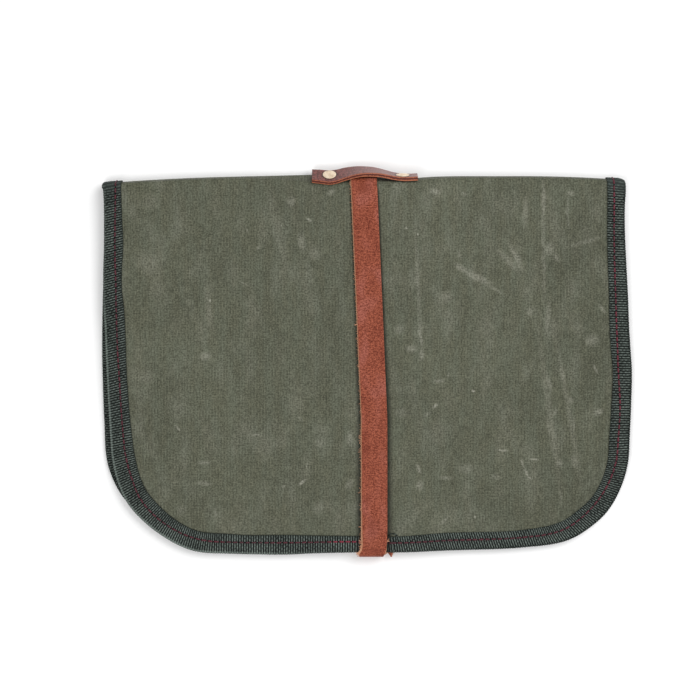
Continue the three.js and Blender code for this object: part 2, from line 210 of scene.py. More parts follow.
class Patch(NamedTuple):
    """Places on the sheet's middle surface: points, outward normals and distances down the flat sheet."""

    point: Array
    normal: Array
    run: Array

    def lifted(self, amount: Value) -> Array:
        """Gives the points moved outwards."""
        return self.point + self.normal * np.asarray(amount, float)[..., None]

    def raised(self, amount: Value) -> "Patch":
        """Gives the places moved outwards."""
        return self._replace(point=self.lifted(amount))


@dataclass(frozen=True)
class RollForm:
    """The folded roll's middle surface and the strap's place on it."""

    origin: Triple = (0.0, 0.0, 0.0)  # what settle adds to a point
    gap: float = 0.3 * MM  # space between neighbouring pieces
    canvas_wall: float = 1.2 * MM  # thickness of the canvas
    tape_wall: float = 0.8 * MM  # thickness of the tape
    strap_wall: float = 2.0 * MM  # thickness of the strap
    left_reach: float = 169.0 * MM  # from the middle of the keeper to the sheet's left edge
    right_reach: float = 166.5 * MM  # from there to its right edge
    sway_length: float = 160.0 * MM  # distance from the fold over which a half slides sideways
    fall: float = 1.6  # how quickly the front half sinks from the fold, as a power
    bend: float = 2.6 * MM  # radius of the fold's two bends
    left_droop: float = 4.6 * MM  # how far the fold's left end lies back
    left_droop_from: float = -60.0 * MM  # where that starts
    right_droop: float = 2.4 * MM  # how far its right end lies back
    right_droop_from: float = 100.0 * MM  # where that starts
    strap_fold_x: float = -1.6 * MM  # middle of the strap at the fold
    strap_open_x: float = 5.2 * MM  # middle of the strap's front run at the open edge
    strap_lean: float = 156.0 * MM  # distance over which the front run leans
    strap_rear_x: float = 7.5 * MM  # middle of the rear run at the open edge
    lap_inner: float = 66.0 * MM  # where the strap's inner end lies behind the roll, from the crest
    lap_outer: float = 102.0 * MM  # where its outer end lies
    lap_step: float = 14.0 * MM  # how far from the lap the back half is still raised
    lap_ease: float = 26.0 * MM  # distance over which it comes down
    ridge_flat: float = 12.0 * MM  # half width of the raised flat over the rear run
    ridge_foot: float = 64.0 * MM  # half width of the whole ridge
    edge_start: float = 46.0 * MM  # from the back's open edge to where the ridge starts to rise to the tape
    edge_end: float = 23.0 * MM  # from there to where it has risen

    @property
    def tape_half(self) -> float:
        """Half the thickness of the bound edge."""
        return self.canvas_wall / 2 + self.gap + self.tape_wall

    @property
    def tape_step(self) -> float:
        """How far the tape stands above the canvas."""
        return self.tape_half - self.canvas_wall / 2

    @property
    def open_edge(self) -> float:
        """The front half's open edge under the strap, from the crest."""
        return FRONT.drop - FRONT.tilt / 2 + FRONT.belly

    def settle(self, points: Array) -> Array:
        """Moves points of the form into the model's frame."""
        return points + np.array(self.origin)

    def front_strap_x(self, s: Value) -> Value:
        """Gives the middle of the strap's front run."""
        return lerp(self.strap_fold_x, self.strap_open_x, np.clip(s / self.strap_lean, 0, 1))

    def rear_strap_x(self, s: Value) -> Value:
        """Gives the middle of the strap's rear run."""
        return lerp(self.strap_fold_x, self.strap_rear_x, np.clip(s / FRONT.drop, 0, 1))

    def back_height(self, x: Value, s: Value) -> Value:
        """Gives the height of the back half, which the strap's rear run lifts, more over its lap.

        Args:
            x: Places across.
            s: Distances from the crest.

        Returns:
            Heights of the canvas's middle.
        """
        ridge = 1 - smoothstep(np.abs(x - self.rear_strap_x(s)), self.ridge_flat, self.ridge_foot)
        panel = self.strap_wall + self.gap + self.canvas_wall / 2 - self.tape_half
        start = self.lap_inner - self.lap_step
        end = self.lap_outer + self.lap_step
        lap = smoothstep(s, start - self.lap_ease, start) * (1 - smoothstep(s, end, end + self.lap_ease))
        edge = smoothstep(s, BACK.drop - self.edge_start, BACK.drop - self.edge_end)
        return self.tape_half + ridge * (panel + (self.strap_wall + self.gap) * lap + self.tape_step * edge)

    def open_edge_height(self, x: Value) -> Value:
        """Gives the front half's height at its open edge, where it lies on the back one."""
        return self.back_height(x, BACK.drop) + 2 * self.tape_half + self.gap

    def fold_section(self, x: Value) -> tuple[Value, ...]:
        """Works out the fold's cross-section.

        Args:
            x: Places across.

        Returns:
            The flat's lean and length, the front bend's starting lean, the height and distance where the
            front half starts, and the distance where the back half starts.
        """
        tilt, flat, setback = (charted(FOLD_SECTIONS, c, x) for c in ("tilt", "flat", "setback"))
        tilt = np.radians(tilt)
        left = np.clip((x - self.left_droop_from) / (-self.left_reach - self.left_droop_from), 0, 1)
        right = np.clip((x - self.right_droop_from) / (self.right_reach - self.right_droop_from), 0, 1)
        setback = setback + self.left_droop * left**2 + self.right_droop * right**2
        top = self.back_height(x, 0.0) + 2 * self.bend + flat * np.sin(tilt)
        lean = -np.arctan(self.fall * (top - self.open_edge_height(x)) / FRONT.drop)
        top_z = top + self.bend * (np.cos(lean) - 1)
        top_s = setback + self.bend * (1 - np.sin(lean)) + flat * np.cos(tilt)
        return tilt, flat, lean, top_z, top_s, setback + self.bend

    def front_height(self, x: Value, s: Value) -> Value:
        """Gives the height of the front half, with its shallow dents.

        Args:
            x: Places across.
            s: Distances from the crest.

        Returns:
            Heights of the canvas's middle.
        """
        _, _, _, top_z, top_s, _ = self.fold_section(x)
        sunk = np.clip((s - top_s) / (FRONT.drop - top_s), 0, 1)
        open_z = self.open_edge_height(x)
        waves = sum(d.height * np.sin(2 * np.pi * (x / d.across + s / d.down + d.phase)) for d in DENTS)
        return open_z + (top_z - open_z) * (1 - sunk) ** self.fall + waves * np.sin(np.pi * sunk) ** 2

    def fold_patch(self, x: Value, turn: Value) -> Patch:
        """Gives places on the fold.

        Args:
            x: Places across.
            turn: How far round the fold, as for a Row.

        Returns:
            The places there.
        """
        tilt, flat, lean, top_z, top_s, _ = self.fold_section(x)
        front = lerp(lean, tilt, np.clip(turn, 0, 1))
        straight = flat * np.clip(np.asarray(turn) - 1, 0, 1)
        back = lerp(tilt, np.pi, np.clip(np.asarray(turn) - 2, 0, 1))
        ahead = self.bend * (np.sin(front) - np.sin(lean) + np.sin(back) - np.sin(tilt))
        down = self.bend * (np.cos(front) - np.cos(lean) + np.cos(back) - np.cos(tilt))
        angle = np.where(np.asarray(turn) < 2, front, back)
        point = stack(x, ahead + straight * np.cos(tilt) - top_s, down - straight * np.sin(tilt) + top_z)
        run = self.bend * (front - lean + back - tilt) + straight - top_s
        return Patch(point, stack(0 * angle, np.sin(angle), np.cos(angle)), run)

    def half_patch(self, half: Half, x: Value, s: Value) -> Patch:
        """Gives places on one half.

        Args:
            half: The half.
            x: Places across.
            s: Distances from the crest.

        Returns:
            The places there.
        """
        height = self.front_height if half.side > 0 else self.back_height
        here = height(x, s)
        slope_x = (height(x + MM, s) - here) / MM
        slope_s = (height(x, s + MM) - here) / MM
        run = -s
        if half.side < 0:
            _, flat, lean, _, top_s, back_s = self.fold_section(x)
            run = self.bend * (np.pi - lean) + flat - top_s + s - back_s
        return Patch(stack(x, -s, here), unit(stack(-slope_x, slope_s, 1.0)) * half.side, run)

    def side_x(self, half: Half, edge: int, s: Value, inset: Value) -> Value:
        """Gives the x of a half's left (-1) or right (+1) edge, moved in by an inset."""
        reach = self.left_reach if edge < 0 else self.right_reach
        return edge * (reach - inset) + half.sway * smoothstep(s, 0.0, self.sway_length)

    def row_end(self, row: Row, edge: int, inset: Value) -> tuple[Value, Value]:
        """Gives one end of a half's row.

        Args:
            row: The row.
            edge: -1 for its left end, +1 for its right end.
            inset: How far in from the sheet's edge.

        Returns:
            The end's x and its distance from the crest.
        """
        half = row.half
        radius = half.left_corner if edge < 0 else half.right_corner
        drop = half.drop - (0.0 if edge < 0 else half.tilt)
        *_, top_s, back_s = self.fold_section(self.side_x(half, edge, 0.0, inset))
        s = lerp(top_s if half.side > 0 else back_s, drop - radius, row.down)
        arc = radius - inset
        x = self.side_x(half, edge, s, inset) - edge * arc * (1 - np.cos(row.angle))
        return x, s + arc * np.sin(row.angle)

    def row_patch(self, row: Row, across: Value, inset: Value) -> Patch:
        """Gives places on a row.

        Args:
            row: The row.
            across: Shares of the way from its left end to its right end.
            inset: How far in from the sheet's edge its ends are.

        Returns:
            The places there.
        """
        if row.half is None:
            left = self.side_x(FRONT, -1, 0.0, inset)
            right = self.side_x(FRONT, 1, 0.0, inset)
            return self.fold_patch(lerp(left, right, across), row.turn)
        left_x, left_s = self.row_end(row, -1, inset)
        right_x, right_s = self.row_end(row, 1, inset)
        bow = row.half.belly * np.sin(row.angle) * (1 - (2 * across - 1) ** 2)
        return self.half_patch(row.half, lerp(left_x, right_x, across), lerp(left_s, right_s, across) + bow)

    def rows(self, side: int, corner: int, bend: int, flat: int) -> list[Row]:
        """Lists rows from the front's open edge over the fold to the back's open edge.

        Args:
            side: Rows down a half's straight side.
            corner: Rows round its corners.
            bend: Rows over one of the fold's bends.
            flat: Rows over the fold's flat.

        Returns:
            The rows in order.
        """
        def of_half(half: Half) -> list[Row]:
            """Lists a half's rows from the fold to its open edge."""
            straight = [Row(half, down=i / side) for i in range(1, side + 1)]
            return straight + [Row(half, 1.0, np.pi / 2 * i / corner) for i in range(1, corner + 1)]

        turns = np.concatenate((np.linspace(0, 1, bend + 1), np.linspace(1, 2, flat + 1)[1:],
                                np.linspace(2, 3, bend + 1)[1:]))
        return of_half(FRONT)[::-1] + [Row(None, turn=float(t)) for t in turns] + of_half(BACK)


def form_in_frame() -> RollForm:
    """Sets the form in the model's frame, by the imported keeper's left end and the canvas's open edge."""
    plain = RollForm()
    keeper_low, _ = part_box("strap_keeper")
    canvas_low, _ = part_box("canvas_sheet")
    canvas_inset = plain.tape_wall + 2 * plain.gap
    return RollForm(origin=(keeper_low[0] - Keeper.left, canvas_low[1] + FRONT.drop - canvas_inset, 0.0))


# Meshes


def placed(name: str, data: bpy.types.ID) -> Piece:
    """Puts a new object in the scene."""
    made = bpy.data.objects.new(name, data)
    bpy.context.scene.collection.objects.link(made)
    return made


@dataclass
class Shell:
    """A closed mesh in the making."""

    points: Array  # its points, in the model's frame
    faces: Faces  # its faces, as numbers of points
    values: dict[str, Array]  # values that the points carry, by name: numbers or vectors

    @classmethod
    def swept(cls, rings: Array, flat: Array, **numbers: Value) -> "Shell":
        """Closes a sweep.

        Args:
            rings: The points of its sections, one after the other.
            flat: Each point's place on the flat strip.
            numbers: Numbers that the points carry, by name, for each point or for every section alike.

        Returns:
            The mesh.
        """
        spread = rings.shape[:2]
        values = {"flat": flat.reshape(-1, 3)}
        for name, value in numbers.items():
            values[name] = np.broadcast_to(value, spread).ravel()
        return cls(rings.reshape(-1, 3), swept_faces(*spread), values)

    def volume(self) -> float:
        """Gives the signed volume, above 0 where the faces point outwards."""
        corners = np.array([(f[0], a, b) for f in self.faces for a, b in zip(f[1:], f[2:])])
        first, second, third = (self.points[corners[:, i]] for i in range(3))
        return float(np.einsum("ij,ij->i", first, np.cross(second, third)).sum() / 6)

    def piece(self, name: str, material: Material | None = None) -> Piece:
        """Makes a smooth object with its faces outwards.

        Args:
            name: The object's name.
            material: Its finish, if it is given here.

        Returns:
            The new object, in the scene.
        """
        faces = self.faces
        if faces and self.volume() < 0:
            faces = [face[::-1] for face in faces]
        mesh = bpy.data.meshes.new(name)
        mesh.from_pydata(self.points.tolist(), [], faces)
        for label, values in self.values.items():
            vector = values.ndim > 1
            layer = mesh.attributes.new(label, "FLOAT_VECTOR" if vector else "FLOAT", "POINT")
            layer.data.foreach_set("vector" if vector else "value", values.astype(np.float32).ravel())
        mesh.shade_smooth()
        if material:
            mesh.materials.append(material)
        return placed(name, mesh)


def swept_faces(stations: int, ring: int) -> Faces:
    """Lists the faces of a closed sweep.

    Args:
        stations: Number of sections.
        ring: Points in each section.

    Returns:
        Quads between neighbouring sections and a cap on each end.
    """
    grid = np.arange(stations * ring).reshape(stations, ring)
    ahead = np.roll(grid, -1, axis=1)
    quads = np.stack((grid[:-1], ahead[:-1], ahead[1:], grid[1:]), axis=-1).reshape(-1, 4)
    return [*map(tuple, quads.tolist()), tuple(grid[0, ::-1].tolist()), tuple(grid[-1].tolist())]


def walled_faces(rows: int, columns: int) -> Faces:
    """Lists the faces of a wall about a grid, whose points are the outer face's and then the inner one's.

    Args:
        rows: Rows of the grid.
        columns: Points in each row.

    Returns:
        Quads of both faces and the rim.
    """
    under = rows * columns
    grid = np.arange(under).reshape(rows, columns)
    quads = np.stack((grid[:-1, :-1], grid[:-1, 1:], grid[1:, 1:], grid[1:, :-1]), axis=-1).reshape(-1, 4)
    both = np.stack((quads, under + quads[:, ::-1]), axis=1).reshape(-1, 4)
    rim = np.concatenate((grid[0, :-1], grid[:-1, -1], grid[-1, :0:-1], grid[:0:-1, 0]))
    ahead = np.roll(rim, -1)
    walls = np.stack((ahead, rim, under + rim, under + ahead), axis=1)
    return [tuple(face) for face in np.concatenate((both, walls)).tolist()]


def rounded_outline(corners: Array, radius: float, steps: tuple[int, ...]) -> Array:
    """Rounds the corners of a four-sided section: top, right side, bottom, left side.

    Args:
        corners: Top left, top right, bottom right and bottom left, as places across and heights.
        radius: How far from each corner the rounding starts.
        steps: How many spans the four sides are cut into.

    Returns:
        Rows of place across, height and cut, which is 1 on the two sides and 0 on the top and bottom.
    """
    arc_steps = 3
    cut_sides = (0.0, 1.0, 0.0, 1.0)
    outline = []
    for k in range(4):
        here, before, after = corners[k], corners[k - 1], corners[(k + 1) % 4]
        start = here + unit(before - here) * radius
        end = here + unit(after - here) * radius
        far = after + unit(here - after) * radius
        for part in np.linspace(0, 1, arc_steps + 1):
            spot = lerp(lerp(start, here, part), lerp(here, end, part), part)
            outline.append((*spot, lerp(cut_sides[k - 1], cut_sides[k], part)))
        for part in np.linspace(0, 1, steps[k] + 1)[1:-1]:
            outline.append((*lerp(end, far, part), cut_sides[k]))
    return np.array(outline)


# Node trees


def by_math(operation: str, swapped: bool = False) -> Callable[..., "Signal"]:
    """Makes an operator of Signal.

    Args:
        operation: The Math node's operation.
        swapped: Whether the other value comes first.

    Returns:
        The method.
    """
    def operator(self: "Signal", *others: "Signal | float") -> "Signal":
        """Adds the Math node."""
        return self.graph.math(operation, *((*others, self) if swapped else (self, *others)))

    return operator


class Signal:
    """A node's output that Python expressions can use as a number."""

    def __init__(self, graph: "Graph", socket: bpy.types.NodeSocket) -> None:
        """Keeps the output and the graph that it is part of."""
        self.graph = graph
        self.socket = socket

    __add__ = __radd__ = by_math("ADD")
    __sub__ = by_math("SUBTRACT")
    __rsub__ = by_math("SUBTRACT", swapped=True)
    __mul__ = __rmul__ = by_math("MULTIPLY")
    __truediv__ = by_math("DIVIDE")
    __pow__ = by_math("POWER")
    __abs__ = by_math("ABSOLUTE")
    __gt__ = by_math("GREATER_THAN")
    sine = by_math("SINE")
    floor = by_math("FLOOR")
    larger = by_math("MAXIMUM")
    smaller = by_math("MINIMUM")

    def ease(self, low: float, high: float, start: float = 0.0, end: float = 1.0) -> "Signal":
        """Eases from start at low to end at high, level past both."""
        sockets = {0: self, 1: low, 2: high, 3: start, 4: end}
        settings = {"interpolation_type": "SMOOTHSTEP", "clamp": False}
        return self.graph.node("ShaderNodeMapRange", settings, sockets)


Input = Signal | float | tuple | str | bpy.types.ID


class Graph:
    """A node tree with one way to add any node."""

    def __init__(self, tree: bpy.types.NodeTree) -> None:
        """Keeps the tree."""
        self.tree = tree

    def node(self, kind: str, settings: dict[str, object] | None = None,
             sockets: dict[int | str, Input] | None = None, output: int | str = 0) -> Signal:
        """Adds a node.

        Args:
            kind: Its type.
            settings: Its properties, which are set first.
            sockets: Values or links of its inputs, by number or name.
            output: The output to give back, by number or name.

        Returns:
            That output.
        """
        made = self.tree.nodes.new(kind)
        for name, value in (settings or {}).items():
            setattr(made, name, value)
        for key, value in (sockets or {}).items():
            if isinstance(value, Signal):
                self.tree.links.new(value.socket, made.inputs[key])
            else:
                made.inputs[key].default_value = value
        return Signal(self, made.outputs[output])

    def math(self, operation: str, *values: Signal | float) -> Signal:
        """Adds a Math node."""
        return self.node("ShaderNodeMath", {"operation": operation}, dict(enumerate(values)))

    def vector(self, operation: str, *values: Signal | tuple) -> Signal:
        """Adds a Vector Math node."""
        return self.node("ShaderNodeVectorMath", {"operation": operation}, dict(enumerate(values)))

    def axis(self, vector: Signal, axis: str) -> Signal:
        """Takes one coordinate of a vector."""
        return self.node("ShaderNodeSeparateXYZ", sockets={0: vector}, output=axis)


class Making(Graph):
    """A Geometry Nodes tree that makes one piece and leaves a plain mesh."""

    def __init__(self, name: str, sizes: dict[str, float]) -> None:
        """Starts the tree.

        Args:
            name: Its name.
            sizes: Values of its named inputs.
        """
        super().__init__(bpy.data.node_groups.new(name, "GeometryNodeTree"))
        sockets = self.tree.interface
        sockets.new_socket("Geometry", in_out="INPUT", socket_type="NodeSocketGeometry")
        sockets.new_socket("Geometry", in_out="OUTPUT", socket_type="NodeSocketGeometry")
        self.values = {}
        for label, value in sizes.items():
            made = sockets.new_socket(label, in_out="INPUT", socket_type="NodeSocketFloat")
            self.values[made.identifier] = value
        self.entry = self.tree.nodes.new("NodeGroupInput")
        self.source = Signal(self, self.entry.outputs[0])

    def size(self, label: str) -> Signal:
        """Gives a named input."""
        return Signal(self, self.entry.outputs[label])

    def carried(self, label: str) -> Signal:
        """Gives a vector that the points carry."""
        settings = {"data_type": "FLOAT_VECTOR"}
        return self.node("GeometryNodeInputNamedAttribute", settings, {"Name": label})

    def spread(self, low: tuple, high: tuple, seed: int) -> Signal:
        """Gives a random vector for each point."""
        sockets = {0: low, 1: high, "Seed": seed}
        return self.node("FunctionNodeRandomValue", {"data_type": "FLOAT_VECTOR"}, sockets)

    def point(self, x: Signal | float, z: Signal | float = 0.0) -> Signal:
        """Joins two coordinates into a vector."""
        return self.node("ShaderNodeCombineXYZ", sockets={0: x, 2: z})

    def strand(self, start: Signal | tuple, top: Signal, end: Signal, cuts: int) -> Signal:
        """Makes a bowed thread, as thick as the input named Radius says.

        Args:
            start: Where it starts.
            top: What it bows towards.
            end: Where it ends.
            cuts: Spans along it and round it.

        Returns:
            The thread.
        """
        ends = {"Resolution": cuts, "Start": start, "Middle": top, "End": end}
        bow = self.node("GeometryNodeCurveQuadraticBezier", sockets=ends)
        circle = {"Resolution": cuts, "Radius": self.size("Radius")}
        ring = self.node("GeometryNodeCurvePrimitiveCircle", sockets=circle)
        thread = {"Curve": bow, "Profile Curve": ring, "Fill Caps": True}
        return self.node("GeometryNodeCurveToMesh", sockets=thread)

    def facing(self) -> Signal:
        """Gives the turn that lays X along the run that each point carries, and Z along its out."""
        settings = {"primary_axis": "X", "secondary_axis": "Z"}
        axes = {0: self.carried("run"), 1: self.carried("out")}
        return self.node("FunctionNodeAxesToRotation", settings, axes)

    def sown(self, shape: Signal, turn: Signal, scale: Signal) -> Signal:
        """Puts a shape on every point."""
        sockets = {"Points": self.source, "Instance": shape, "Rotation": turn, "Scale": scale}
        return self.node("GeometryNodeInstanceOnPoints", sockets=sockets)

    def run(self, geometry: Signal, source: Piece, material: Material) -> Piece:
        """Ends the tree, runs it on an object and puts the plain mesh in that object's place.

        Args:
            geometry: What the tree has made.
            source: The object that it starts from, which the result replaces.
            material: The finish of what it makes.

        Returns:
            The finished object.
        """
        real = self.node("GeometryNodeRealizeInstances", sockets={"Geometry": geometry})
        dressed = self.node("GeometryNodeSetMaterial", sockets={"Geometry": real, "Material": material})
        self.tree.links.new(dressed.socket, self.tree.nodes.new("NodeGroupOutput").inputs[0])
        modifier = source.modifiers.new(self.tree.name, "NODES")
        modifier.node_group = self.tree
        for identifier, value in self.values.items():
            modifier[identifier] = value
        depsgraph = bpy.context.evaluated_depsgraph_get()
        evaluated = source.evaluated_get(depsgraph)
        mesh = bpy.data.meshes.new_from_object(evaluated, preserve_all_data_layers=True, depsgraph=depsgraph)
        source.modifiers.remove(modifier)
        mesh.shade_smooth()
        source.data = mesh
        mesh.name = source.name
        return source


class Shader(Graph):
    """The node tree of one finish, about a Principled shader."""

    def __init__(self, name: str, **constants: float) -> None:
        """Starts the material.

        Args:
            name: Its name.
            constants: Values that are the same all over, by the shader's socket with _ for spaces.
        """
        self.material = bpy.data.materials.new(name)
        self.material.use_nodes = True
        super().__init__(self.material.node_tree)
        self.surface = self.tree.nodes["Principled BSDF"]
        for label, value in constants.items():
            self.surface.inputs[label.replace("_", " ")].default_value = value

    def feed(self, **signals: Signal) -> Material:
        """Links what varies over the surface to the shader, by socket, and gives the material."""
        for label, signal in signals.items():
            self.tree.links.new(signal.socket, self.surface.inputs[label.replace("_", " ")])
        return self.material

    def attribute(self, label: str, output: str = "Vector") -> Signal:
        """Reads a value that the points carry."""
        return self.node("ShaderNodeAttribute", {"attribute_name": label}, output=output)

    def place(self) -> Signal:
        """Reads the place in the object's own frame."""
        return self.node("ShaderNodeTexCoord", output="Object")

    def scaled(self, vector: Signal, cell: Triple) -> Signal:
        """Scales places so that a cell, given in millimetres, becomes 1 wide."""
        return self.vector("MULTIPLY", vector, tuple(1 / (size * MM) for size in cell))

    def noise(self, vector: Signal, cell: Triple, detail: float = 2.0) -> Signal:
        """Makes noise of about 0 to 1.

        Args:
            vector: Where it is read.
            cell: Size of its blots in each direction, in millimetres.
            detail: How many finer layers it has.

        Returns:
            The noise.
        """
        sockets = {"Vector": self.scaled(vector, cell), "Scale": 1.0, "Detail": detail}
        return self.node("ShaderNodeTexNoise", sockets=sockets)

    def pebbles(self, vector: Signal, cell: Triple) -> Signal:
        """Makes rounded lumps, as large as a cell, 1 on top and about 0 in the creases between them."""
        sockets = {"Vector": self.scaled(vector, cell), "Scale": 1.0}
        return 1.1 - self.node("ShaderNodeTexVoronoi", {"feature": "F1"}, sockets, "Distance") * 1.4

    def marks(self, vector: Signal, marks: "tuple[Mark, ...]", depth: float) -> Signal:
        """Gathers charted marks.

        Args:
            vector: The place on the flat sheet, or in the form's own coordinates.
            marks: The marks.
            depth: How far from the sheet they reach.

        Returns:
            How strongly the surface is marked, 0 to 1.
        """
        gathered = None
        longer, wider = 0.6, 0.75  # half sizes with the soft edge, as shares of the mark's
        for mark in marks:
            sockets = {
                "Vector": vector,
                "Location": (mark.x * MM, -mark.s * MM, 0.0),
                "Rotation": (0.0, 0.0, np.radians(mark.turn)),
                "Scale": (mark.length * longer * MM, mark.width * wider * MM, depth),
            }
            inside = self.node("ShaderNodeMapping", {"vector_type": "TEXTURE"}, sockets)
            ball = self.node("ShaderNodeTexGradient", {"gradient_type": "SPHERICAL"}, {0: inside}, "Fac")
            shade = ball.ease(0.0, 0.9, 0.0, mark.strength)
            gathered = shade if gathered is None else gathered.larger(shade)
        return gathered

    def mix(self, part: Signal, first: Signal | Colour, second: Signal | Colour) -> Signal:
        """Mixes two colours."""
        return self.node("ShaderNodeMix", {"data_type": "RGBA"}, {0: part, 6: first, 7: second}, 2)

    def bump(self, height: Signal, distance: float, strength: float) -> Signal:
        """Turns a height of 0 to 1 into a normal."""
        sockets = {"Strength": strength, "Distance": distance, "Height": height}
        return self.node("ShaderNodeBump", sockets=sockets)


# Finishes


class Mark(NamedTuple):
    """A pale scuff of the wax, in millimetres: where it lies, its size, its turn and how strong it is."""

    x: float
    s: float
    length: float
    width: float
    turn: float
    strength: float


MARKS = tuple(Mark(*row) for row in (
    (-36.5, 28.7, 5, 1.6, -40, 1), (-100.4, 79.8, 2.4, 1.8, -45, 1), (-69.3, 45.9, 6, 1.2, 55, 0.5),
    (-77.1, 34.8, 5, 1.2, 100, 0.4), (-48.2, 16.4, 9, 5, 60, 0.4), (-22.6, 10.9, 8, 4, 20, 0.4),
    (-41.5, 42.6, 16, 5, 95, 0.4), (-54.8, 31.5, 2, 1.5, 0, 0.6), (-103.7, 115.8, 9, 5, 10, 0.5),
    (-121.5, 162.5, 5.5, 1.4, -60, 0.7), (-105, 184.8, 12, 2.5, 5, 0.4), (-104.5, 198.3, 12, 3, -5, 0.45),
    (-41.5, 197.4, 8, 2.2, 40, 0.9), (-53.7, 199.6, 2.4, 1.4, 25, 0.7), (-10.4, 168.5, 12, 5, 80, 0.4),
    (-10.4, 198.5, 10, 5, 60, 0.4), (-70.4, 166.3, 8, 1.8, 0, 0.35), (44.8, 9.8, 8, 4, 0, 0.5),
    (25.9, 33.7, 2.4, 1.8, -40, 1), (33.7, 37.5, 2, 1.6, 0, 0.8), (61, 59.2, 12, 4, -30, 0.6),
    (71, 64.5, 30, 4.5, -27, 0.45), (97, 52.5, 26, 4.5, -64, 0.45), (114.2, 16.4, 32, 2.8, 90, 0.5),
    (102.6, 23.5, 26, 4, 88, 0.35), (118, 46.8, 12, 9, -50, 0.4), (131.5, 11.5, 6, 3.5, 0, 0.5),
    (117.4, 89.3, 22, 3, 86, 0.4), (152.5, 85.8, 9, 2, -50, 0.5), (145.8, 105.8, 11, 8, 20, 0.4),
    (35.2, 102.6, 22, 2.4, -85, 0.5), (29, 111.3, 10, 5, 0, 0.5), (35.9, 115.3, 10, 4, 80, 0.5),
    (47, 131.9, 10, 2.2, 5, 0.55), (44.8, 148, 6.5, 2, 30, 0.8), (69.2, 138.5, 2.2, 1.8, 0, 1),
    (88.1, 176.3, 8.5, 1.6, -8, 0.7), (101.3, 184.8, 8, 1.3, -75, 0.7), (103.6, 191, 7, 1.8, -60, 0.8),
    (109, 182.2, 9, 1.4, -5, 0.6), (124.7, 185.2, 7, 5, 90, 0.5), (33.9, 188.7, 8, 2.4, -70, 0.7),
    (34.8, 199.6, 8, 4.5, 80, 0.5), (127.1, 128.7, 14, 2.6, -80, 0.5), (118, 133.8, 18, 3, -80, 0.45),
    (118, 161.6, 16, 2.6, -80, 0.3), (134.2, 160.9, 14, 2.2, 88, 0.4), (150.3, 151.9, 7, 4, 20, 0.6),
    (148.1, 124.2, 9, 1.8, -60, 0.5), (51.5, 194.7, 11, 2.6, -5, 0.4), (70.3, 219.6, 2.2, 1.8, 0, 0.9),
    (-141.4, 54.8, 20, 14, 0, 0.22), (-78.2, 69.2, 8, 0.8, -25, 0.4), (-37.6, 185.8, 5, 1.2, 85, 0.45),
    (-29.3, 171.9, 7, 6, 0, 0.3), (-42.1, 156.3, 6, 2, 130, 0.35), (-97.1, 218.5, 10, 2, 90, 0.25),
    (-30.4, 214, 12, 7, 60, 0.25), (63.1, 12, 6, 2, -40, 0.45), (83, 73, 18, 2.5, -30, 0.3),
    (60.3, 50.3, 8, 2, 100, 0.35), (122.6, 52.6, 8, 4, -60, 0.4), (130.9, 31.5, 7, 1, 90, 0.4),
    (51.5, 78.1, 12, 8, 30, 0.35), (105.8, 86.8, 8, 6, 0, 0.3), (21.5, 99, 8, 6, 0, 0.35),
    (53.1, 128.5, 5, 1.2, 80, 0.5), (39.2, 153.6, 6, 3, 30, 0.35), (105.5, 193.8, 4, 1.6, -45, 0.8),
    (131.5, 145.2, 8, 4, 70, 0.4), (121.9, 151.9, 7, 2.5, 60, 0.4), (64.5, 188.7, 14, 6, 10, 0.3),
    (83.7, 193.8, 8, 4, 0, 0.3), (125.8, 207.4, 12, 2, 90, 0.3), (50.3, 221.9, 12, 2, 45, 0.3),
    (114.5, 48, 92, 2.6, -89, 0.28), (129.6, 22, 24, 2, 90, 0.28), (33.2, 66.8, 103, 2.6, -87, 0.25),
    (118.2, 150, 125, 4.2, -82, 0.24), (130.6, 150, 115, 3.8, -80, 0.24), (91.6, 54.5, 27, 5, -45, 0.35),
    (142.5, 41.6, 27, 3, 15, 0.28), (-56.4, 36.5, 62, 8, -78, 0.2), (-101.5, 84, 35, 4, -82, 0.22),
    (-138.2, 17, 13, 10, 0, 0.2), (-32.5, 50, 10, 9, 0, 0.25), (-141.6, 129.6, 13, 9, 0, 0.2),
    (-119.5, 215.8, 11, 6, 60, 0.2), (135, 183.3, 11, 5, -80, 0.35), (22.6, 152.5, 11, 7, 0, 0.25),
))


def strap_painted_shade(shader: Shader, place: Signal, form: RollForm, half: float) -> Signal:
    """Paints shade on the front half under the strap and a little past its edges, more at its right.

    Args:
        shader: The material's tree.
        place: The place on the flat sheet, or in the form's own coordinates.
        form: The form, for the strap's lean.
        half: Half the strap's width.

    Returns:
        How strongly shade is painted there, 0 to 1.
    """
    s = shader.axis(place, "Y") * -1.0
    lean = (form.strap_open_x - form.strap_fold_x) / form.strap_lean
    middle = s.smaller(form.strap_lean) * lean + form.strap_fold_x
    aside = shader.axis(place, "X") - middle
    reach = s.ease(40 * MM, 190 * MM, 1.0 * MM, 2.7 * MM)
    left = ((aside + half) / reach).ease(-1.7, -0.05)
    right = ((aside - half) / reach).ease(0.1, 1.7, 1.0, 0.0)
    return left * right * s.ease(4 * MM, 12 * MM)


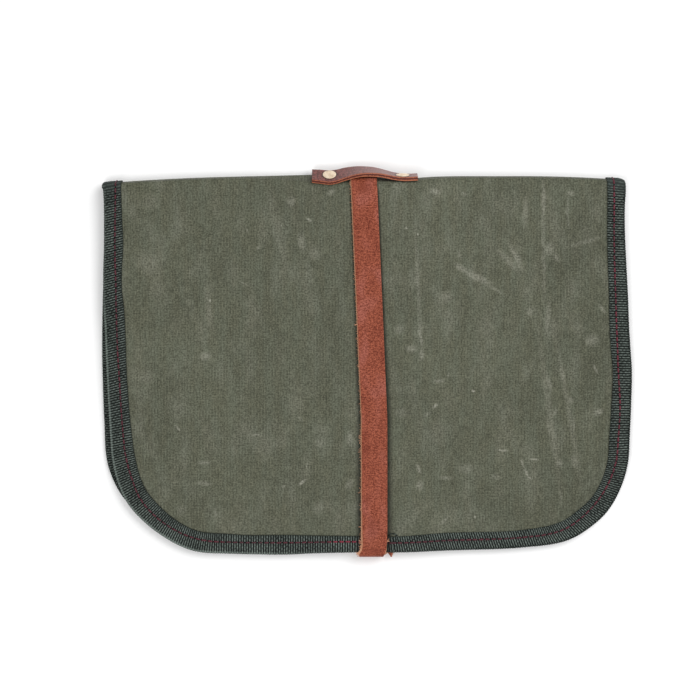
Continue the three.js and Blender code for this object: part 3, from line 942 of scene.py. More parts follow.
@dataclass(frozen=True)
class WaxedCanvas:
    """Plain-woven canvas under dull wax, with clouds, streaks, scuffs and painted shade beside the strap."""

    form: RollForm  # the form, for the strap's place on the canvas
    strap_half: float  # half the strap's width
    dark: Colour = srgb(56, 58, 45)  # the deepest wax
    light: Colour = srgb(105, 106, 88)  # the most rubbed wax
    grey: Colour = srgb(103, 107, 91)  # what the wax clouds over to
    scuffed: Colour = srgb(152, 151, 138)  # a bare scuff
    strap_shade: Colour = srgb(27, 28, 20)  # painted shade along the strap
    warp: float = 0.97 * MM  # spacing of the threads that run down the sheet
    weft: float = 1.15 * MM  # spacing of the threads that run across it

    def material(self) -> Material:
        """Makes the material, which follows the flat sheet."""
        shader = Shader("waxed_canvas", Specular_IOR_Level=0.2)
        flat = shader.attribute("flat")
        warp = (shader.axis(flat, "X") * (np.pi / self.warp)).sine()
        weft = (shader.axis(flat, "Y") * (np.pi / self.weft)).sine()
        warp_on_top = (warp * weft) > 0.0
        warp_float = abs(warp) * abs(weft) ** 0.3
        weft_float = abs(weft) * abs(warp) ** 0.3
        weave = (warp_on_top * warp_float + (1 - warp_on_top) * weft_float) * 0.4 + warp * 0.25 + 0.25
        slubs_down = shader.noise(flat, (0.7, 5, 1))
        slubs_across = shader.noise(flat, (4, 0.7, 1))
        grain = shader.noise(flat, (1.0, 1.0, 1))
        mottle = shader.noise(flat, (4.5, 5.5, 1))
        streaks = shader.noise(flat, (6, 26, 1))
        clouds = shader.noise(flat, (38, 46, 1), 3.0)
        haze = shader.noise(flat, (14, 26, 1), 5.0)
        slubs = slubs_down * 0.6 + slubs_across * 0.4
        fine = (slubs - 0.5) * 1.3 + (grain - 0.5) * 1.7 + (weave - 0.7) * 0.24
        broad = (mottle - 0.5) * 0.35 + (streaks - 0.5) * 0.25 + (clouds - 0.5) * 0.4
        broad = broad + shader.axis(flat, "X").ease(60 * MM, 165 * MM, 0.01, -0.08)
        colour = shader.mix(streaks.ease(0.3, 0.7), self.light, self.grey)
        colour = shader.mix((0.5 + fine + broad).ease(-0.1, 1.1), self.dark, colour)
        sway = {0: (mottle - 0.5) * (3.5 * MM), 1: (haze - 0.5) * (3.5 * MM)}
        wandered = shader.vector("ADD", flat, shader.node("ShaderNodeCombineXYZ", sockets=sway))
        scuffs = shader.marks(wandered, MARKS, MM) + haze.ease(0.45, 0.8, 0.0, 0.25)
        scuffs = scuffs * (grain + slubs).ease(0.7, 1.25, 0.2, 1.0)
        colour = shader.mix(scuffs * 0.95, colour, self.scuffed)
        # painted shade beside the strap, darkest at its right, where its shadow falls
        strap_shade = strap_painted_shade(shader, flat, self.form, self.strap_half)
        colour = shader.mix(strap_shade * (0.35 + mottle * 0.9), colour, self.strap_shade)
        relief = weave * 0.4 + slubs * 0.9
        rough = 0.66 + (clouds - 0.5) * 0.2 + scuffs * 0.15
        return shader.feed(Base_Color=colour, Roughness=rough, Normal=shader.bump(relief, 0.12 * MM, 0.6))


@dataclass(frozen=True)
class RibbedTape:
    """Dark tape with a cord across it at every rib, whose crests are broken into short floats."""

    form: RollForm  # the form, for the strap's place on the tape
    strap_half: float  # half the strap's width
    valley: Colour = srgb(15, 19, 17)  # painted shade between the ribs
    crest: Colour = srgb(124, 135, 128)  # the floats on the ribs
    smooth: Colour = srgb(57, 64, 61)  # where the ribs are worn flat, by the fold
    hem: Colour = srgb(30, 34, 30)  # the dark line along the legs' inner edges
    pierced: Colour = srgb(5, 6, 6)  # the needle holes
    strap_shade: Colour = srgb(14, 16, 14)  # painted shade along the strap
    pitch: float = 1.6 * MM  # from rib to rib
    float_length: float = 2.9 * MM  # from float to float along a rib

    def material(self) -> Material:
        """Makes the material, which follows the tape."""
        shader = Shader("ribbed_tape", Specular_IOR_Level=0.1)
        flat = shader.attribute("flat")
        hem = shader.attribute("hem", "Fac")
        across = shader.axis(flat, "X")
        along = shader.axis(flat, "Y") / self.pitch
        rib = abs((along * np.pi).sine())
        blots = shader.noise(flat, (1.0, 0.8, 1))
        strands = shader.noise(flat, (5, 0.35, 1))
        worn = shader.noise(flat, (9, 14, 1))
        step = across * (2 * np.pi / self.float_length) + along.floor() * (0.9 * np.pi)
        floats = (step + blots * 3.0).sine()
        dashes = (blots - 0.5) * 1.5 + floats * 0.12 + (strands - 0.5) * 0.8 + (worn - 0.5) * 0.6
        x, y = shader.axis(shader.place(), "X"), shader.axis(shader.place(), "Y")
        # along the turned outer edge: a painted highlight on the left half, the rim also made darker on the
        # right
        rim = abs(across).ease(1.1 * MM, 2.0 * MM, 1.0, 0.0)
        painted_highlight = rim * across.ease(0.1 * MM, 0.6 * MM) * x.ease(-120 * MM, 0.0, 1.0, 0.0)
        painted_highlight = painted_highlight * y.ease(20 * MM, 50 * MM, 0.42, 0.1)
        paler = y.ease(-108 * MM, -96 * MM, 0.08, 0.0)
        # the ribs: painted shade in the valleys, the floats' colour on the crests
        tone = rib.ease(0.5, 1.0) * (0.37 + paler + dashes * 1.1)
        tone = tone * (1 - rim * x.ease(0.0, 100 * MM, 0.0, 0.5)) + painted_highlight
        colour = shader.mix(tone, self.valley, self.crest)
        colour = shader.mix(y.ease(104 * MM, 117 * MM, 0.0, 0.65), colour, self.smooth)
        # darker along the legs' inner edges, most on the left
        hem_strength = x.ease(-60 * MM, 90 * MM, 1.0, 0.3)
        colour = shader.mix(hem * hem_strength * (0.5 + blots * 0.6), colour, self.hem)
        hole = shader.attribute("hole", "Fac").ease(0.15, 0.7, 0.0, 0.95)
        colour = shader.mix(hole, colour, self.pierced)
        # painted shade beside the strap, where its shadow falls on the tape
        place = shader.vector("SUBTRACT", shader.place(), self.form.origin)
        strap_shade = strap_painted_shade(shader, place, self.form, self.strap_half)
        colour = shader.mix(strap_shade * 0.75, colour, self.strap_shade)
        rough = 0.75 + (blots - 0.5) * 0.2
        return shader.feed(Base_Color=colour, Roughness=rough, Normal=shader.bump(strands, 0.08 * MM, 0.5))


@dataclass(frozen=True)
class StitchThread:
    """Crimson waxed thread, darkened by wear but for a stretch beside the strap and the right-hand side."""

    dark: Colour = srgb(38, 16, 22)  # worn and dirty thread
    light: Colour = srgb(122, 28, 51)  # clean thread

    def material(self) -> Material:
        """Makes the material."""
        shader = Shader("crimson_thread", Specular_IOR_Level=0.4)
        place = shader.place()
        ply = shader.noise(place, (0.5, 0.5, 0.5))
        fade = shader.noise(place, (14, 14, 14))
        x = shader.axis(place, "X")
        sides = x.ease(-150 * MM, -120 * MM, 0.12, 0.0) + x.ease(90 * MM, 150 * MM, 0.0, 0.4)
        by_strap = x.ease(-26 * MM, -20 * MM) * x.ease(2 * MM, 8 * MM, 1.0, 0.0)
        clean = (ply * 0.6 + fade * 0.5).ease(0.25, 0.85) * (0.4 + sides + by_strap * 1.3)
        colour = shader.mix(clean, self.dark, self.light)
        rough = 0.5 + (ply - 0.5) * 0.3
        return shader.feed(Base_Color=colour, Roughness=rough, Normal=shader.bump(ply, 0.1 * MM, 0.6))


class Hide(Enum):
    """The two leathers."""

    STRAP = "strap_leather"
    KEEPER = "keeper_leather"


@dataclass(frozen=True)
class Leather:
    """Vegetable-tanned leather with a pebbled grain, creases across it, mottling and paler cut edges."""

    hide: Hide  # which of the two leathers it is
    dark: Colour  # its creases
    light: Colour  # its raised grain
    stain_and_shade: Colour  # stain marks on handled and pressed places, and painted shade
    painted_highlight: Colour  # colour of the painted sheen
    bloom: Colour  # its wax bloom
    edge: Colour  # its cut edges
    burnish: Colour  # the burnished band along them
    burnish_from: float  # height in its wall at which that begins
    burnish_to: float  # height at which it ends
    streaked: float  # how strongly streaks along it show
    rough: float
    gloss: float  # specular level

    def material(self, stains_and_shade: Callable[[Shader], Signal]) -> Material:
        """Makes the material, which follows the strip that it is cut from.

        Args:
            stains_and_shade: How strongly stain and painted shade darken it, given the material's tree.

        Returns:
            The material.
        """
        shader = Shader(self.hide.value, Specular_IOR_Level=self.gloss)
        flat = shader.attribute("flat")
        cut = shader.attribute("cut", "Fac")
        rub = shader.attribute("rub", "Fac")
        pores = shader.noise(flat, (0.75, 0.7, 1))
        lumps = shader.pebbles(flat, (1.6, 1.3, 2))
        creases = shader.noise(flat, (1.9, 0.9, 1))
        handled = shader.noise(flat, (11, 18, 1), 1.0)
        streaks = shader.noise(flat, (0.9, 6, 1))
        specks = shader.noise(flat, (0.7, 0.6, 1)).ease(0.6, 0.75)
        grain = (pores - 0.5) * 2.0 + (lumps - 0.5) * 0.4 + (creases - 0.5) * 1.0 + specks * 1.2
        worn = (handled - 0.5) * 0.5 + (streaks - 0.5) * self.streaked
        raised = shader.mix(handled.ease(0.45, 0.75, 0.0, 0.6), self.light, self.bloom)
        face = shader.mix((0.48 + grain + worn).ease(-0.1, 1.1), self.dark, raised)
        # painted sheen, by the share that the points carry, on the keeper's arch and right end
        face = shader.mix(rub * (0.1 + creases), face, self.painted_highlight)
        # stain marks, and painted shade below the keeper and round the rivets
        face = shader.mix(stains_and_shade(shader) * (0.4 + creases), face, self.stain_and_shade)
        height = shader.axis(flat, "Z") + (creases - 0.5) * (1.6 * MM)
        band = height.ease(self.burnish_from - 0.1 * MM, self.burnish_from + 0.1 * MM)
        band = band * height.ease(self.burnish_to - 0.1 * MM, self.burnish_to + 0.1 * MM, 1.0, 0.0)
        fibres = shader.noise(flat, (0.4, 1.2, 0.4))
        raw = (cut * (0.55 + fibres * 0.8)).ease(0.3, 0.9)
        colour = shader.mix(raw, face, shader.mix(band, self.edge, self.burnish))
        rough = self.rough + (pores - 0.5) * 0.25 + raw * 0.25
        relief = pores * 0.5 + creases * 0.5 + lumps * 0.4
        return shader.feed(Base_Color=colour, Roughness=rough, Normal=shader.bump(relief, 0.1 * MM, 0.6))


STRAP_LEATHER = Leather(
    Hide.STRAP, dark=srgb(92, 36, 22), light=srgb(168, 93, 69), stain_and_shade=srgb(100, 41, 27),
    painted_highlight=srgb(170, 104, 80), bloom=srgb(166, 100, 88), edge=srgb(212, 160, 128),
    burnish=srgb(194, 136, 104), burnish_from=0.5 * MM, burnish_to=2.0 * MM, streaked=0.15,
    rough=0.55, gloss=0.12)
KEEPER_LEATHER = Leather(
    Hide.KEEPER, dark=srgb(62, 27, 24), light=srgb(140, 82, 75), stain_and_shade=srgb(44, 20, 21),
    painted_highlight=srgb(148, 114, 110), bloom=srgb(140, 88, 84), edge=srgb(168, 100, 68),
    burnish=srgb(84, 34, 26), burnish_from=0.8 * MM, burnish_to=2.1 * MM, streaked=0.8,
    rough=0.38, gloss=0.3)

# Stain marks on the strap; the one 8 mm from the crest, just below the keeper, is painted shade from it.
STRAP_STAINS_AND_SHADE = tuple(Mark(*row) for row in (
    (-1, 167, 8, 5, 80, 0.5), (0.5, 176, 9, 4, 70, 0.5), (-1.5, 8, 14, 8, 0, 0.5),
    (0, 208, 10, 5, 20, 0.4), (4, 226, 8, 14, 10, 0.4), (5.2, 241, 15, 4, 0, 0.5),
))


@dataclass(frozen=True)
class PaleBrass:
    """Pale brass, rubbed and faintly tarnished."""

    dull: Colour = srgb(207, 183, 155)  # tarnished brass
    bright: Colour = srgb(241, 224, 200)  # rubbed brass

    def material(self) -> Material:
        """Makes the material."""
        shader = Shader("rivet_brass", Metallic=0.5)
        place = shader.place()
        rubs = shader.noise(place, (0.5, 2.2, 0.5), 3.0)
        haze = shader.noise(place, (3, 3, 3))
        colour = shader.mix((rubs * 0.5 + haze * 0.6).ease(0.3, 0.75), self.dull, self.bright)
        rough = 0.5 + (rubs - 0.5) * 0.3
        return shader.feed(Base_Color=colour, Roughness=rough, Normal=shader.bump(rubs, 0.02 * MM, 0.4))


@dataclass(frozen=True)
class PaperFloor:
    """A white sweep of studio paper."""

    shade: Colour = srgb(249, 249, 249)
    white: Colour = srgb(252, 252, 252)

    def material(self) -> Material:
        """Makes the material."""
        shader = Shader("studio_paper", Roughness=0.9, Specular_IOR_Level=0.1)
        cloud = shader.noise(shader.place(), (300, 300, 300))
        return shader.feed(Base_Color=shader.mix(cloud, self.shade, self.white))


# Sewing


@dataclass(frozen=True)
class Seam:
    """A row of stitches of one thread."""

    name: str
    pitch: float = 4.05 * MM  # from one needle hole to the next
    length: float = 2.75 * MM  # length of the thread that shows between two holes
    radius: float = 0.57 * MM
    rise: float = 0.75 * MM  # how far the middle of a stitch stands above its ends
    cuts: int = 6  # spans along a stitch and round it
    yaw: float = 0.09  # how far a stitch may lie askew
    least: Triple = (0.86, 0.9, 0.85)  # smallest scale of a stitch
    most: Triple = (1.06, 1.1, 1.1)  # largest scale of a stitch
    seed: int = 5  # seed of its small unevenness

    def build(self, paths: Iterable[tuple[Array, Array]], material: Material) -> Piece:
        """Sews along paths.

        Args:
            paths: For each row of stitches, points in the model's frame and outward normals there.
            material: The thread's finish.

        Returns:
            One object with all the stitches.
        """
        spots, runs, outs = [], [], []
        for points, normals in paths:
            along = lengths_along(points)
            at = np.arange(self.pitch / 2, along[-1], self.pitch)
            spots.append(on_path(points, along, at))
            ahead = on_path(points, along, at + self.pitch / 4)
            runs.append(unit(ahead - on_path(points, along, at - self.pitch / 4)))
            outs.append(unit(on_path(normals, along, at)))
        values = {"run": np.concatenate(runs), "out": np.concatenate(outs)}
        holes = Shell(np.concatenate(spots), [], values).piece(self.name)
        making = Making(self.name, {"Length": self.length, "Radius": self.radius, "Rise": self.rise})
        half = making.size("Length") * 0.5
        top = making.point(0.0, making.size("Rise"))
        stitch = making.strand(making.point(half * -1.0), top, making.point(half), self.cuts)
        yaw = making.spread((0.0, 0.0, -self.yaw), (0.0, 0.0, self.yaw), self.seed)
        turns = {0: making.facing(), 1: making.node("FunctionNodeEulerToRotation", sockets={0: yaw})}
        turn = making.node("FunctionNodeRotateRotation", {"rotation_space": "LOCAL"}, turns)
        scale = making.spread(self.least, self.most, self.seed + 1)
        return making.run(making.sown(stitch, turn, scale), holes, material)


# Sub-assemblies


@dataclass(frozen=True)
class CanvasSheet:
    """The sheet of canvas, doubled at the fold."""

    form: RollForm  # the form that it follows
    strap_half: float  # half the width of the strap that lies on it
    inset: float = 3.2 * MM  # how far inside the bound edge its own edge lies
    columns: int = 150  # points across
    side: int = 72  # rows down a straight side
    corner: int = 36  # rows round a corner
    bend: int = 12  # rows over one bend of the fold
    flat: int = 4  # rows over the fold's flat

    def patches(self) -> list[Patch]:
        """Gives the places on the sheet, row by row."""
        rows = self.form.rows(self.side, self.corner, self.bend, self.flat)
        return [self.form.row_patch(row, np.linspace(0, 1, self.columns), self.inset) for row in rows]

    def build(self) -> Piece:
        """Makes the wall of canvas."""
        patches = self.patches()
        run = np.concatenate([patch.run for patch in patches])
        walls, flats = [], []
        for layer, lift in enumerate((self.form.canvas_wall / 2, -self.form.canvas_wall / 2)):
            walls.append(np.concatenate([patch.lifted(lift) for patch in patches]))
            flats.append(stack(walls[-1][:, 0], run, float(layer)))
        points = self.form.settle(np.concatenate(walls))
        shell = Shell(points, walled_faces(len(patches), self.columns), {"flat": np.concatenate(flats)})
        return shell.piece("canvas", WaxedCanvas(self.form, self.strap_half).material())

    def flat_size(self) -> Triple:
        """Works out what the sheet was cut to.

        Returns:
            Its width, its length and its area with rounded corners, before it was folded.
        """
        patches = self.patches()
        runs = np.stack([patch.run for patch in patches])
        xs = np.stack([patch.point[:, 0] for patch in patches])
        cells = np.abs(np.diff(xs, axis=1)[:-1] * np.diff(runs, axis=0)[:, :-1])
        return float(np.ptp(xs)), float(np.ptp(runs)), float(cells.sum())


class TapeSpot(NamedTuple):
    """The tape at a distance along the front outline, from the fold's left end, in millimetres.

    out is how far its edge stands out from the plain outline, leg and seam how far in its inner edge and
    its stitches lie, and skew how far its ribs run ahead for each millimetre inwards. Round the back half
    only out varies.
    """

    along: float
    out: float
    leg: float
    seam: float
    skew: float


# Distances along round the back half, and how far out the edge stands there
BACK_EDGE = (
    (756, -0.8), (762, -0.4), (775, 0), (1200, 0), (1235, 0), (1255, 0.6), (1274, 1.3), (1294, 1.8),
    (1314, 1.1), (1334, -0.4), (1352, 0.3), (1369, 0.9), (1386, 1.4), (1420, 1.4), (1454, 0.6),
)

TAPE_SPOTS = tuple(TapeSpot(*row) for row in (
    (0, 0.6, 11.6, 7.8, -0.12), (4, 0.3, 11.6, 7.7, -0.12), (15, 0.2, 11.8, 7.4, -0.15),
    (38, 0.9, 12, 6.5, -0.2), (53, 1.9, 10.6, 6.3, -0.22), (65, 2.4, 10.2, 6.1, -0.25),
    (77, 2.7, 11, 5.8, -0.25), (90, 2.5, 11.3, 5.7, -0.25), (105, 2.4, 11.3, 5.7, -0.25),
    (120, 2.2, 11.3, 6.2, -0.25), (135, 1.8, 12, 6.7, -0.25), (150, 1.1, 13, 7.5, -0.22),
    (164, 0.3, 14.6, 8.7, -0.2), (178, -0.1, 15.6, 9.6, -0.15), (194, 0.3, 15.1, 9.5, -0.08),
    (204, 0.5, 14.8, 8.5, 0), (222, -0.3, 15, 8.2, 0), (236, -0.4, 14.4, 8.2, 0), (258, 0.6, 13, 7.8, 0),
    (275, 0.2, 13.2, 7.6, 0), (292, 0.7, 12.1, 7.1, 0), (320, 1.1, 12, 6.9, 0), (334, 0.5, 11.6, 7, 0),
    (360, 0.1, 11, 7.2, 0), (375, 0.2, 10.4, 6.4, -0.05), (395, 0.7, 10.2, 5.8, -0.2),
    (420, 0.4, 11.4, 6.4, -0.3), (465, 0.4, 11.2, 6.4, -0.35), (485, -0.5, 12.8, 7.5, -0.35),
    (503, 0.1, 13.2, 7.8, -0.3), (518, -0.2, 14.2, 9, -0.25), (533, 0, 14, 9.6, -0.2),
    (552, -0.6, 14.3, 9.4, -0.15), (580, -0.1, 13.8, 7.9, -0.05), (605, 1, 12.2, 6.5, 0),
    (628, 1.9, 10.9, 7.3, 0), (642, 1.4, 11.8, 7.4, 0), (657, 0.9, 12.2, 7.6, 0),
    (675, 0.8, 11.9, 7.6, 0), (700, 0.3, 12, 7.6, 0), (720, 0, 11.8, 7.3, 0), (735, 0.3, 11.4, 7, 0),
    (743, 0.9, 11.4, 7, 0.03), (749, 0.7, 11.5, 7.1, 0.05), (752, 0, 11.5, 7.1, 0.07),
    *((along, out, 11.5, 7.2, 0.1) for along, out in BACK_EDGE),
    (1485, 0.4, 11.6, 7.6, 0), (1497, 0.8, 11.6, 7.8, -0.1), (1503, 1.3, 11.6, 7.8, -0.12),
    (1508.5, 0.7, 11.6, 7.8, -0.12),
))


class TapeCourse(NamedTuple):
    """The tape's sections along its course: lengths, points, flat places, hems, outward normals and skew."""

    along: Array
    points: Array
    flat: Array
    hem: Array
    outward: Array
    skew: Array


@dataclass(frozen=True)
class EdgeBinding:
    """The ribbed tape folded over the sheet's edge all the way round, and its stitches."""

    form: RollForm  # the form that it follows
    strap_half: float  # half the width of the strap that lies on it
    start_x: float = 15.8 * MM  # where its lower end lies at the open edge, beside the strap
    end_x: float = 19.6 * MM  # where its upper end lies, over the lower one
    end_rise: float = 2.0 * MM  # distance over which the upper end climbs
    end_lift: float = 0.9 * MM  # how far it climbs
    round_depth: float = 1.5 * MM  # how far in the fold over the edge reaches
    groove: float = 0.3 * MM  # how deep the stitches pull it in
    groove_half: float = 0.9 * MM  # half the width of that furrow
    hem_width: float = 0.9 * MM  # width of the dark band along each leg's inner edge
    loop_x: float = 17.2 * MM  # middle of the loop of pulled thread
    loop_s: float = 232.4 * MM  # its distance from the crest
    loop_half: float = 2.8 * MM  # half its width
    loop_reach: float = 2.1 * MM  # how far it reaches from its middle
    loop_sag: float = 0.4 * MM  # how far its ends stand above its top
    loop_radius: float = 0.4 * MM  # radius of the pulled thread
    loop_turn: tuple[int, int] = (-25, 205)  # degrees between which it bends round
    seam_points: tuple[int, int] = (5, 15)  # points of a section that the seams lie on
    seam_sunk: float = 0.12 * MM  # how deep the stitches lie in the tape
    floor_sunk: float = 0.5 * MM  # how deep they lie where the tape rests on the floor
    hole_fade: tuple[float, float] = (0.12, 0.28)  # shares of a stitch over which a needle hole fades out
    rib_pitch: float = RibbedTape.pitch  # from rib to rib
    rib_depth: float = 0.3 * MM  # depth of the valleys between them
    stop: float = 1.5 * MM  # spacing of the sections that are worked out along the open edge
    cuts: tuple[int, int, int, int] = (110, 70, 12, 6)  # as for RollForm.rows

    def section(self, out: float, leg: float, seam: float, lift: float) -> Array:
        """Lays out the tape's folded section, from its outer leg's inner edge round the sheet's edge.

        Args:
            out: How far its edge stands out.
            leg: How far in its legs reach.
            seam: How far in its stitches lie.
            lift: How far it is raised over another layer.

        Returns:
            Rows of inset, height, place across the tape, layer, which is 0 outside and 1 inside, and hem,
            which is 1 along the legs' edges.
        """
        wall = self.form.tape_wall
        outer = self.form.tape_half + lift
        inner = outer - wall
        lip, blunt, sunk = inner + 0.15 * wall, 0.15 * MM, 0.1 * MM
        spill = 0.2  # share of its lift by which a raised end also stands out
        midway = 0.45  # share of the way to the seam at which the plain face is cut
        edge = -out - spill * lift
        leg_face = [
            (leg, lip, 1.0),
            (leg - blunt, outer - sunk, 1.0),
            (leg - self.hem_width, outer, 0.2),
            ((leg + seam + self.groove_half) / 2, outer, 0.0),
            (seam + self.groove_half, outer, 0.0),
            (seam, outer - self.groove, 0.0),
            (seam - self.groove_half, outer, 0.0),
            (seam * midway, outer, 0.0),
        ]
        turns = np.radians((60, 30, 0, -30, -60))
        turned = [(edge + self.round_depth * (1 - np.cos(a)), outer * np.sin(a), 0.0) for a in turns]
        under = [(inset, -height, hem) for inset, height, hem in reversed(leg_face)]
        throat, tight = edge + wall + self.form.gap, 0.8 * inner
        lining = [(leg / 2, -inner), (throat, -tight), (throat, tight), (leg / 2, inner)]
        rows = [(inset, height, 0.0, hem) for inset, height, hem in leg_face + turned + under]
        rows += [(inset, height, 1.0, 0.0) for inset, height in lining]
        return np.array([(i, h, np.sign(h) * (i - edge), layer, hem) for i, h, layer, hem in rows])

    def stops(self) -> list[tuple[Row, float]]:
        """Lists places along the course, as a row of the sheet and a share across it."""
        rows = self.form.rows(*self.cuts)
        edges = self.form.row_patch(rows[0], np.array((0.0, 1.0)), 0.0).point[:, 0]
        start, end = ((x - edges[0]) / (edges[1] - edges[0]) for x in (self.start_x, self.end_x))
        count = int((edges[1] - edges[0]) / self.stop)
        course = [(rows[0], a) for a in np.linspace(start, 1, int(count * (1 - start)))[:-1]]
        course += [(row, 1.0) for row in rows]
        course += [(rows[-1], a) for a in np.linspace(1, 0, count)[1:-1]]
        course += [(row, 0.0) for row in reversed(rows)]
        return course + [(rows[0], a) for a in np.linspace(0, end, int(count * end))[1:]]

    def course(self) -> TapeCourse:
        """Works out the tape's sections along its course.

        Returns:
            The sections, in the model's frame.
        """
        stops = self.stops()
        outline = np.array([self.form.row_patch(row, across, 0.0).point for row, across in stops])
        along = lengths_along(outline)
        fold_end = max(i for i, (row, across) in enumerate(stops) if row.half is None)
        last_leg = along[fold_end:] - along[fold_end]
        at_end = slice(-60, None)
        offset = np.interp(self.start_x, outline[at_end, 0], last_leg[at_end])
        chart = np.concatenate((along[:fold_end] + offset, last_leg)) / MM
        spots = {c: charted(TAPE_SPOTS, c, chart) for c in TapeSpot._fields[1:]}
        to_end = along[-1] - along
        climb = self.end_x - self.start_x
        lift = self.end_lift * (1 - smoothstep(to_end, climb, climb + self.end_rise))
        points, flat, outward = [], [], []
        for i, (row, across) in enumerate(stops):
            out, leg, seam = (spots[c][i] * MM for c in ("out", "leg", "seam"))
            section = self.section(out, leg, seam, lift[i])
            patch = self.form.row_patch(row, across, section[:, 0])
            points.append(self.form.settle(patch.lifted(section[:, 1])))
            flat.append(section[:, 2:4])
            outward.append(patch.normal[len(section) // 4])
        hem = section[:, 4]
        return TapeCourse(along, np.array(points), np.array(flat), hem, np.array(outward), spots["skew"])

    def build(self) -> list[Piece]:
        """Makes the tape with its ribs, its stitches and the loop of thread pulled out of its end."""
        course = self.course()
        tape = self.tape(course)
        return [tape, self.stitches(course), self.loop(tape)]

    def loop(self, tape: Piece) -> Piece:
        """Lays the loop of pulled thread on the canvas beside the tape's upper end.

        Args:
            tape: The tape, whose material it shares.

        Returns:
            The loop.
        """
        turns = np.radians(np.linspace(*self.loop_turn, 33))
        x = self.loop_x + self.loop_half * np.cos(turns)
        s = self.loop_s - self.loop_reach * np.sin(turns)
        rise = self.form.canvas_wall / 2 + self.loop_radius + self.loop_sag * np.cos(turns) ** 2
        path = self.form.half_patch(FRONT, x, s).lifted(rise)
        along = unit(np.gradient(path, axis=0))
        side = unit(np.cross(along, (0.0, 0.0, 1.0)))
        up = np.cross(side, along)
        round_it = np.linspace(0, 2 * np.pi, 7)[:-1]
        spokes = np.cos(round_it)[:, None] * side[:, None] + np.sin(round_it)[:, None] * up[:, None]
        rings = self.form.settle(path[:, None] + self.loop_radius * spokes)
        return Shell.swept(rings, rings, hem=1.0).piece("binding_loop", tape.data.materials[0])

    def tape(self, course: TapeCourse) -> Piece:
        """Sweeps the tape and presses its ribs.

        Args:
            course: Its sections.

        Returns:
            The finished tape.
        """
        rib_parts = np.array((0.0, 0.2, 0.5, 0.8))
        ribs = np.arange(int(course.along[-1] / self.rib_pitch))
        along = ((ribs[:, None] + rib_parts[None]) * self.rib_pitch).ravel()
        skew = np.interp(along, course.along, course.skew)
        ring = course.points.shape[1]
        points, flat = np.empty((2, len(along), ring, 3))
        for j in range(ring):
            across = np.interp(along, course.along, course.flat[:, j, 0])
            points[:, j] = on_path(course.points[:, j], course.along, along + skew * across)
            flat[:, j] = stack(across, along, course.flat[0, j, 1])
        holes = self.needle_holes(course, along, skew)
        plain = Shell.swept(points, flat, hem=course.hem, hole=holes).piece("binding")
        making = Making("tape_ribs", {"Rib Pitch": self.rib_pitch, "Rib Depth": self.rib_depth})
        place = making.carried("flat")
        turns = making.axis(place, "Y") / making.size("Rib Pitch")
        valley = 1 - abs((turns * np.pi).sine())
        outside = 1 - making.axis(place, "Z")
        press = valley * outside * making.size("Rib Depth") * -1.0
        normal = making.node("GeometryNodeInputNormal")
        scaled = making.node("ShaderNodeVectorMath", {"operation": "SCALE"}, {0: normal, "Scale": press})
        sockets = {"Geometry": making.source, "Offset": scaled}
        pressed = making.node("GeometryNodeSetPosition", sockets=sockets)
        return making.run(pressed, plain, RibbedTape(self.form, self.strap_half).material())

    def seam_path(self, course: TapeCourse, point: int) -> tuple[Array, Array]:
        """Lays out the seam on one leg.

        Args:
            course: The tape's sections.
            point: The point of a section that the seam lies on.

        Returns:
            The seam's points and the outward normals there.
        """
        outward = course.outward * np.sign(course.flat[0, point, 0])
        on_floor = course.points[:, point, 2] < MM
        sunk = np.where(on_floor, self.floor_sunk, self.seam_sunk)
        return course.points[:, point] - outward * sunk[:, None], outward

    def needle_holes(self, course: TapeCourse, along: Array, skew: Array) -> Array:
        """Finds the needle holes.

        Args:
            course: The tape's sections.
            along: Distances along the tape.
            skew: How far its ribs run ahead there.

        Returns:
            How close to a hole each point of those sections is, 0 to 1.
        """
        close = np.zeros((len(along), course.points.shape[1]))
        for point in self.seam_points:
            at = along + skew * np.interp(along, course.along, course.flat[:, point, 0])
            sewn = lengths_along(self.seam_path(course, point)[0])
            stitches = np.interp(at, course.along, sewn) / Seam.pitch
            close[:, point] = 1 - smoothstep(np.abs(stitches - np.round(stitches)), *self.hole_fade)
        return close

    def stitches(self, course: TapeCourse) -> Piece:
        """Sews the tape on, with a row on each of its legs."""
        rows = [self.seam_path(course, point) for point in self.seam_points]
        return Seam("binding_stitches").build(rows, StitchThread().material())


class TurnEdge(NamedTuple):
    """The strap's edges near its turn, by distance past the open edge, in millimetres.

    left and right are how far they lie aside, and left_bevel and right_bevel how far their cut slopes in.
    """

    past: float
    left: float
    right: float
    left_bevel: float
    right_bevel: float


TURN_EDGES = tuple(TurnEdge(*row) for row in (
    (-60, 0, 0, 0, 0), (-30, 0, 0, 0.1, 0), (-12, 0, 0, 0.4, 0.1), (-4, -0.2, 0, 0.8, 0.6),
    (-1.5, -0.9, 0, 1, 1), (0, -2, -0.4, 1.2, 1.1), (1.2, -2.7, -1.2, 1.2, 0.8), (3, -2.4, -2.1, 1, 0.4),
    (5.5, -1.6, -2.5, 0.6, 0), (7, -1, -2.4, 0.3, 0), (9.5, 1, 0, 0, 0), (11, 2.3, 2.3, 0, 0),
))


class Tuft(NamedTuple):
    """A bunch of fibres on the strap's left (-1) or right (+1) edge, at s in millimetres from the crest."""

    side: int
    s: float
    fibres: int


TUFTS = tuple(Tuft(*row) for row in (
    (-1, 95.1, 8), (-1, 168, 8), (-1, 170, 10), (-1, 172.5, 8), (-1, 177, 6), (-1, 203, 6), (-1, 214, 6),
    (-1, 225.8, 12), (-1, 235.7, 18), (-1, 239, 16), (1, 235.1, 10),
))


class Station(NamedTuple):
    """A section of the strap: the surface that its middle follows, its middle's x, and its edges."""

    surface: Callable[[Array], Patch]
    middle: float
    left: float = 0.0
    right: float = 0.0
    left_bevel: float = 0.0
    right_bevel: float = 0.0


def level_surface(y: float, z: float, facing: Iterable[float], x: Array) -> Patch:
    """Gives a surface that is level across, by its place and by the y and z of the way it faces."""
    return Patch(stack(x, y, z), stack(0 * x, *facing), 0 * x)


